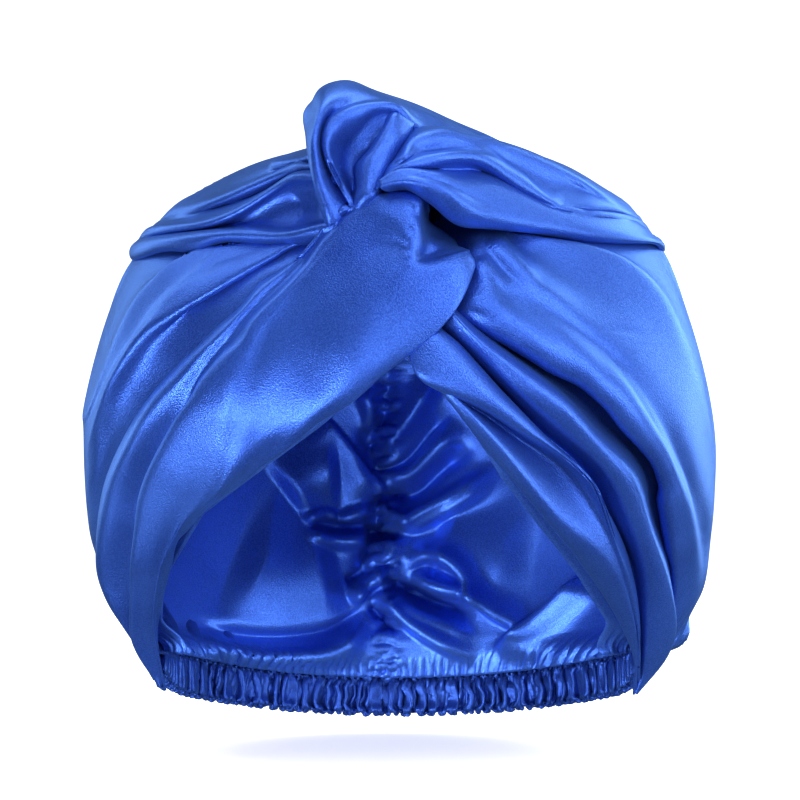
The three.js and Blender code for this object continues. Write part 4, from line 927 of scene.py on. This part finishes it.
hems = {"left": [(2, -47), (-27, -71), (-69, -102), (-85, -127), (-88, -156)],
        "right": [(5, -48), (15, -57), (35, -89), (62, -123), (83, -155)]}
lining = {
    "columns": 321, "rows": 145, "thick": 0.6, "seed": 51, "top": -4, "seamTurn": 0.055, "crowd": 0.45,
    "flat": (0.46, 0.33), "area": 0.109,
    "seamSlack": 0.4, "seamReach": 5, "broadSlack": 0.02, "broadReach": 22, "hemSlack": 0.45, "hemReach": 6,
    "loose": 0.002, "ring": 0.975, "markHeight": 1.25, "room": 7, "roomReach": 75, "hold": 0.045,
    "marks": {
        "leftPanel": ([(-70, -126), (-44, -132), (-26, -128)], (22, 18), (7, 9), 0),
        "leftUpper": ([(-50, -100), (-36, -92), (-26, -90)], (14, 10), (5, 6), 0),
        "rightPanel": ([(14, -118), (36, -126), (56, -130)], (14, 22), (6, 7), 0),
        "seamUpper": ([(-8, -46), (-7.5, -69), (-12, -77), (-11.5, -86), (-6, -99)], (4, 5), (-5, -8), 0),
        "seamLower": ([(-6, -97), (-8, -105), (-10.5, -116), (-12, -127), (-14, -146)], (5.5, 5),
                      (-8, -8), 0),
        "holeA": ([(-13, -79), (-8.5, -82), (-4, -84)], (2.5, 4), (-5, -5), 0),
        "holeB": ([(-9, -99), (-3, -101), (4, -101)], (3.5, 3), (-7, -5), 0),
        "holeC": ([(-16, -116), (-7, -118), (-2, -121)], (3, 5), (-7, -9), 0),
        "flap": ([(-36, -66), (-20, -83.5), (-5, -101)], (6, 7), (5, 6), -0.88),
        "narrowPanel": ([(-17, -58), (-13, -68), (-13.5, -77)], (3.5, 3.5), (4, 5), 0.2),
        "smallTop": ([(-8, -66), (-4, -64.5), (1, -63.5)], (1.5, 2), (3, 2), 0.3),
        "crossA": ([(-12, -87), (-2, -76.5), (9, -64), (17, -50)], (3, 6), (7, 7), 0.35),
        "creaseA": ([(-11, -91), (-0.5, -89), (12, -76.5), (24, -65)], (2, 4), (-4, -4), 0.3),
        "midA": ([(-6, -94), (4, -92), (16, -83), (28, -72)], (2.5, 5), (3, 4), 0),
        "deepA": ([(-7, -99), (5, -101), (15, -93), (32, -80)], (3, 5), (-7, -6), 0.2),
        "crossB": ([(-3, -113), (9, -107), (23, -100.5), (44, -89)], (3, 5.5), (8, 6), -0.35),
        "crossBlip": ([(2, -115), (16, -109.5), (42, -95)], (1.5, 2.5), (2.5, 2), 0.2),
        "innerLip": ([(-10, -104), (-3, -109), (1, -110), (3, -115)], (1.8, 2), (5, 5), 0.3),
        "foldDown": ([(-28, -112), (-18, -108), (-10, -105)], (2, 2.4), (4, 5), 0.3),
        "loop": ([(-43, -111), (-37, -108), (-30, -108.5), (-27, -113.5)], (1.6, 1.6), (3.5, 3.5), 0),
        "loopGroove": ([(-40, -111.5), (-32, -112), (-24, -113), (-12, -112.5)], (1.6, 2.6), (-4, -7), 0),
        "lip": ([(-43, -114), (-36, -116.5), (-24, -118), (-9, -116)], (1.6, 3), (4, 8), -0.4),
        "panelEdge": ([(-10, -116), (-12, -127), (-20, -133)], (6, 5), (9, 5), 0.75),
        "roll": ([(-22, -143), (-19, -140), (-13, -135), (-5, -130)], (2.4, 3.4), (9, 9), 0),
        "rollGroove": ([(-24, -136), (-18, -132.5), (-11, -129)], (2, 2), (-5, -6), 0),
        "lowLeft": ([(-14, -150), (-28, -160), (-45, -164), (-64, -163), (-84, -154)], (5, 4.5), (9, 7), 0.5),
        "lowLeftGap": ([(-12, -143), (-28, -153), (-46, -156), (-64, -155), (-88, -146)], (2.6, 2.6),
                       (-4.5, -3), 0),
        "spoon": ([(3, -133), (5.5, -128), (13, -124.5), (21, -125.5), (29, -131), (35, -140), (46, -149),
                   (59, -158)], (3, 4), (7, 7), 0.4),
        "spoonLip": ([(4, -130), (9, -134.5), (26, -139), (44, -145)], (2.4, 3.4), (5, 6), 0.4),
        "spoonDip": ([(11, -129), (22, -132.5), (33, -142)], (3, 4), (-4, -4), 0),
        "creaseK": ([(-9, -132), (1, -137.5), (12, -143), (34, -149)], (2.2, 4), (-8, -7), 0),
        "lowRidge": ([(-10, -138), (1, -149), (15, -157), (34, -166)], (2.6, 4.5), (9, 8), 0.3),
        "lowRidgeB": ([(-2, -141), (8, -147), (22, -152), (34, -158)], (2, 3), (5, 4), 0),
        "lowDark": ([(-14, -144), (-8, -150), (-3, -158)], (2, 3), (-6, -5), 0),
        "lowRight": ([(78, -128), (68, -140), (54, -152), (38, -163)], (4, 5), (8, 7), 0.7),
    },
}


def hemAzimuth(z, side):
    rows = np.array(hems[side], float)[::-1]
    x = np.interp(z, rows[:, 1], rows[:, 0])
    wide = bagSizes(z, inside)[0]
    turn = np.abs(np.arcsin(np.clip(x / wide, -1, 1)))
    return np.where(z > -47, 0, turn)


def makeLining():
    rows, columns = lining["rows"], lining["columns"]
    v = unitGrid(rows, columns)[0]
    u = np.ones((rows, 1)) * np.linspace(-1, 1, columns)[None, :]
    z0 = nape["topZ"] + (lining["top"] - nape["topZ"]) * v
    seam = math.pi - lining["seamTurn"]
    share = np.abs(u) - lining["crowd"] / math.pi * np.sin(math.pi * np.abs(u))
    left = seam - (seam - hemAzimuth(z0, "left")) * share
    right = seam + (2 * math.pi - seam - hemAzimuth(z0, "right")) * share
    azimuth = -np.where(u < 0, left, right)
    foot = nape["topZ"] - nape["sag"] * np.maximum(0, -np.cos(azimuth)) ** 1.3
    z = foot + (lining["top"] - foot) * v
    grid = bagPoint(azimuth, z, inside)
    drawn = ease(1 - (z - foot) / nape["drawn"])[..., None]
    ring = gatherLine(azimuth) * np.array([lining["ring"], lining["ring"], 0])
    ring = ring + np.stack([0 * z, 0 * z, z], -1)
    grid = grid * (1 - drawn) + ring * drawn
    inward = -levelOut(azimuth, z, inside)
    back = ease((-np.cos(azimuth) - 0.1) / 0.5)
    away = np.abs(grid[..., 0] + lining["seamTurn"] * inside["width"])
    low = ease((-24 - z) / 20)
    near = lining["seamSlack"] * hill(away, lining["seamReach"])
    near = near + lining["broadSlack"] * hill(away, lining["broadReach"])
    upright = near * back * low + lining["loose"]
    around = lining["hemSlack"] * hill(z - foot, lining["hemReach"]) + lining["loose"]
    marks = lining["markHeight"] * foldMarks(grid, lining["marks"]) * back * ease((z - foot) / 8)
    # The folds stand clear of the bag behind
    room = lining["room"] * hill(away, lining["roomReach"]) * back * ease((z - foot) / 16)
    shaped = grid + inward * (marks + room)[..., None]
    push = 0.3 * ripples((rows, columns), 12, 8, lining["seed"]) * ease((z - foot) / 5)
    return settle(shaped, inward, around, upright, pinnedRim(rows, columns), push, (60, 50, 40, 20),
                  lining["hold"], 0.1, -6, 12)


finish(clothSheet("lining", makeLining(), lining["thick"], flip=True), paintedLitLiningSatin,
       "lining")
print("lining made")

# The nape casing: cloth gathered over elastic, sewn along both edges

casing = {"columns": 601, "around": 33, "wide": 88, "high": 16.5, "thick": 3.2, "puckers": 24, "slack": 1.1,
          "seed": 61, "flat": (0.42, 0.036), "area": 0.0151, "stitchRows": (2, 14, 18, 30), "stitchStep": 7,
          "stitchLong": 4, "thread": 0.22, "pinnedRows": (0, 4, 12, 20, 28, 32), "gapAtEnds": 0.06,
          "depth": 2.2}


def sewAlong(piece, grid):  # rows of short stitches along both edges, inside and outside
    out = outwards(grid)
    bm = bmesh.new()
    bm.from_mesh(piece.data)
    for row in casing["stitchRows"]:
        for start in range(6, casing["columns"] - 8, casing["stitchStep"]):
            end = start + casing["stitchLong"]
            first, last = [Vector((grid[row, k] + 0.12 * out[row, k]) * mm) for k in (start, end)]
            turned = (last - first).to_track_quat("Z", "Y").to_matrix().to_4x4()
            made = bmesh.ops.create_cone(bm, cap_ends=True, segments=6, radius1=casing["thread"] * mm,
                                         radius2=casing["thread"] * mm, depth=(last - first).length,
                                         matrix=Matrix.Translation((first + last) / 2) @ turned)
            for vert in made["verts"]:
                for face in vert.link_faces:
                    face.smooth = True
    bm.to_mesh(piece.data)
    bm.free()


def makeCasing():
    columns, around = casing["columns"], casing["around"]
    loop, s = unitGrid(around, columns)
    turn = (s - 0.5) * (math.pi - casing["gapAtEnds"])
    away = np.maximum(np.cos(turn), 0)
    up = np.cos(2 * math.pi * loop)
    out = np.sin(2 * math.pi * loop)
    up = np.sign(up) * np.abs(up) ** 0.6
    out = -np.sign(out) * np.abs(out) ** 0.5
    outward = np.stack([np.sin(turn), np.cos(turn), 0 * s], -1)
    half = casing["high"] / 2
    ends = np.abs(2 * s - 1) ** 12
    narrow = 1 - 0.4 * ends
    centreZ = nape["topZ"] - half - nape["sag"] * away ** 1.3 + 0.5 + 4 * ends
    centreY = nape["frontY"] + (nape["deep"] - 1) * away ** 0.85
    centre = np.stack([casing["wide"] * np.sin(turn), centreY, centreZ], -1)
    home = centre + outward * (out * narrow * casing["thick"] / 2)[..., None]
    home[..., 2] += up * half * narrow
    draw = np.random.default_rng(casing["seed"])
    phase = 2 * math.pi * casing["puckers"] * s
    for k in range(7):
        swing = draw.uniform(0.9, 2)
        phase = phase + swing * np.sin(2 * math.pi * (k + 2) * 1.9 * s + draw.uniform(0, 6.3))
    lean = 1.5 * np.sin(2 * math.pi * 2.3 * s + 1) + 5 * (2 * s - 1) ** 5
    push = casing["depth"] * np.sin(phase + lean * up)
    pinned = np.zeros((around, columns))
    pinned[:, 0] = pinned[:, -1] = 1
    for row in casing["pinnedRows"]:
        pinned[row] = 1
    normal = outwards(home)
    slack = casing["slack"] + np.zeros_like(s)
    grid = settle(home, normal, slack, 0.04 + 0 * s, pinned, push, (40, 40, 30), 0.0, 0.08, -1.3, 3.6)
    piece = clothSheet("nape_casing", grid, 0)
    sewAlong(piece, grid)
    return piece


finish(makeCasing(), paintedShadeCasingSatin, "nape_casing")
print("casing made")

# Studio: pale floor and backdrop, soft lights, a long lens level with the cap

# floorDrop and sensor are in millimetres
studio = {"floorDrop": 6, "cameraDistance": 1.2, "cameraZ": -0.062, "viewWidth": 0.296, "sensor": 36,
          "glowNear": 0.6, "glowFar": 1.0, "glowFrom": 0.6, "glowTo": 2.0, "world": 0.14, "floorSize": 4,
          "floorSteps": 80, "levelOutTo": 2.6, "floorCurve": 1.1, "aim": (0, 0, -0.08), "exposure": -0.15}


# Pale paper that glows a little, more at its far edge, so that it stays even behind the cap
def paperFinish():
    paper = bpy.data.materials.new("paper")
    paper.use_nodes = True
    nodes, links = paper.node_tree.nodes, paper.node_tree.links
    shader = nodes["Principled BSDF"]
    shader.inputs["Base Color"].default_value = (0.9, 0.9, 0.9, 1)
    shader.inputs["Roughness"].default_value = 0.9
    shader.inputs["Emission Color"].default_value = (1, 1, 1, 1)
    place = nodes.new("ShaderNodeTexCoord")
    far = nodes.new("ShaderNodeVectorMath")
    far.operation = "LENGTH"
    glow = nodes.new("ShaderNodeMapRange")
    glow.inputs["From Min"].default_value = studio["glowFrom"]
    glow.inputs["From Max"].default_value = studio["glowTo"]
    glow.inputs["To Min"].default_value = studio["glowNear"]
    glow.inputs["To Max"].default_value = studio["glowFar"]
    links.new(place.outputs["Object"], far.inputs[0])
    links.new(far.outputs["Value"], glow.inputs["Value"])
    links.new(glow.outputs["Result"], shader.inputs["Emission Strength"])
    return paper


def makeStudio():
    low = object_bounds()[0][2] - studio["floorDrop"] * mm
    bm = bmesh.new()
    steps = studio["floorSteps"]
    bmesh.ops.create_grid(bm, x_segments=steps, y_segments=steps, size=studio["floorSize"])
    for vert in bm.verts:  # level under the cap, then curving up all round
        past = max(0, vert.co.xy.length - studio["levelOutTo"])
        vert.co.z = low + studio["floorCurve"] * past ** 2
    mesh = bpy.data.meshes.new("floor")
    bm.to_mesh(mesh)
    bm.free()
    for face in mesh.polygons:
        face.use_smooth = True
    floor = bpy.data.objects.new("floor", mesh)
    bpy.context.scene.collection.objects.link(floor)
    floor.visible_diffuse = floor.visible_glossy = floor.visible_shadow = False
    mesh.materials.append(paperFinish())
    world = bpy.data.worlds.new("studio")
    world.use_nodes = True
    world.node_tree.nodes["Background"].inputs["Color"].default_value = (1, 1, 1, 1)
    world.node_tree.nodes["Background"].inputs["Strength"].default_value = studio["world"]
    bpy.context.scene.world = world
    camera = bpy.data.objects.new("camera", bpy.data.cameras.new("camera"))
    bpy.context.scene.collection.objects.link(camera)
    camera.location = (0, -studio["cameraDistance"], studio["cameraZ"])
    camera.rotation_euler = (math.pi / 2, 0, 0)
    camera.data.sensor_width = studio["sensor"]
    camera.data.lens = studio["sensor"] * studio["cameraDistance"] / studio["viewWidth"]
    bpy.context.scene.camera = camera


def softLight(name, place, target, size, power):
    light = bpy.data.objects.new(name, bpy.data.lights.new(name, "AREA"))
    bpy.context.scene.collection.objects.link(light)
    light.data.shape = "RECTANGLE"
    light.data.size, light.data.size_y = size
    light.data.energy = power
    light.location = place
    light.rotation_euler = (Vector(target) - Vector(place)).to_track_quat("-Z", "Y").to_euler()


softLights = {  # place, size, power
    "right": ((1.2, -0.1, 0.2), (0.5, 1.1), 3),
    "rightFront": ((0.95, -0.85, 0.15), (0.5, 1.1), 10),
    "rightBack": ((0.9, 0.75, 0.3), (0.6, 1.1), 11),
    "rightLow": ((1.1, -0.4, -0.45), (0.5, 0.5), 5),
    "leftBack": ((-0.9, 0.75, 0.3), (0.6, 1.1), 5),
    "leftHigh": ((-0.8, 0, 0.85), (0.6, 0.6), 3),
    "leftFrontLow": ((-0.75, -0.9, -0.6), (0.4, 0.4), 12),
    "leftLow": ((-0.95, -0.35, -0.6), (0.4, 0.4), 2),
    "over": ((0, 0.2, 1.2), (0.9, 0.7), 10),
    "overFront": ((0, -0.9, 0.95), (1.0, 0.5), 9),
    "overRight": ((0.7, -0.5, 0.85), (0.5, 0.5), 2),
    "frontRight": ((0.5, -1.6, 0.3), (0.5, 0.5), 5),
    "frontLow": ((0, -1.5, -0.6), (1.2, 0.4), 8),
}
makeStudio()
for name, (place, size, power) in softLights.items():
    softLight(name, place, studio["aim"], size, power)
bpy.context.scene.view_settings.view_transform = "Standard"
bpy.context.scene.view_settings.look = "Medium High Contrast"
bpy.context.scene.view_settings.exposure = studio["exposure"]
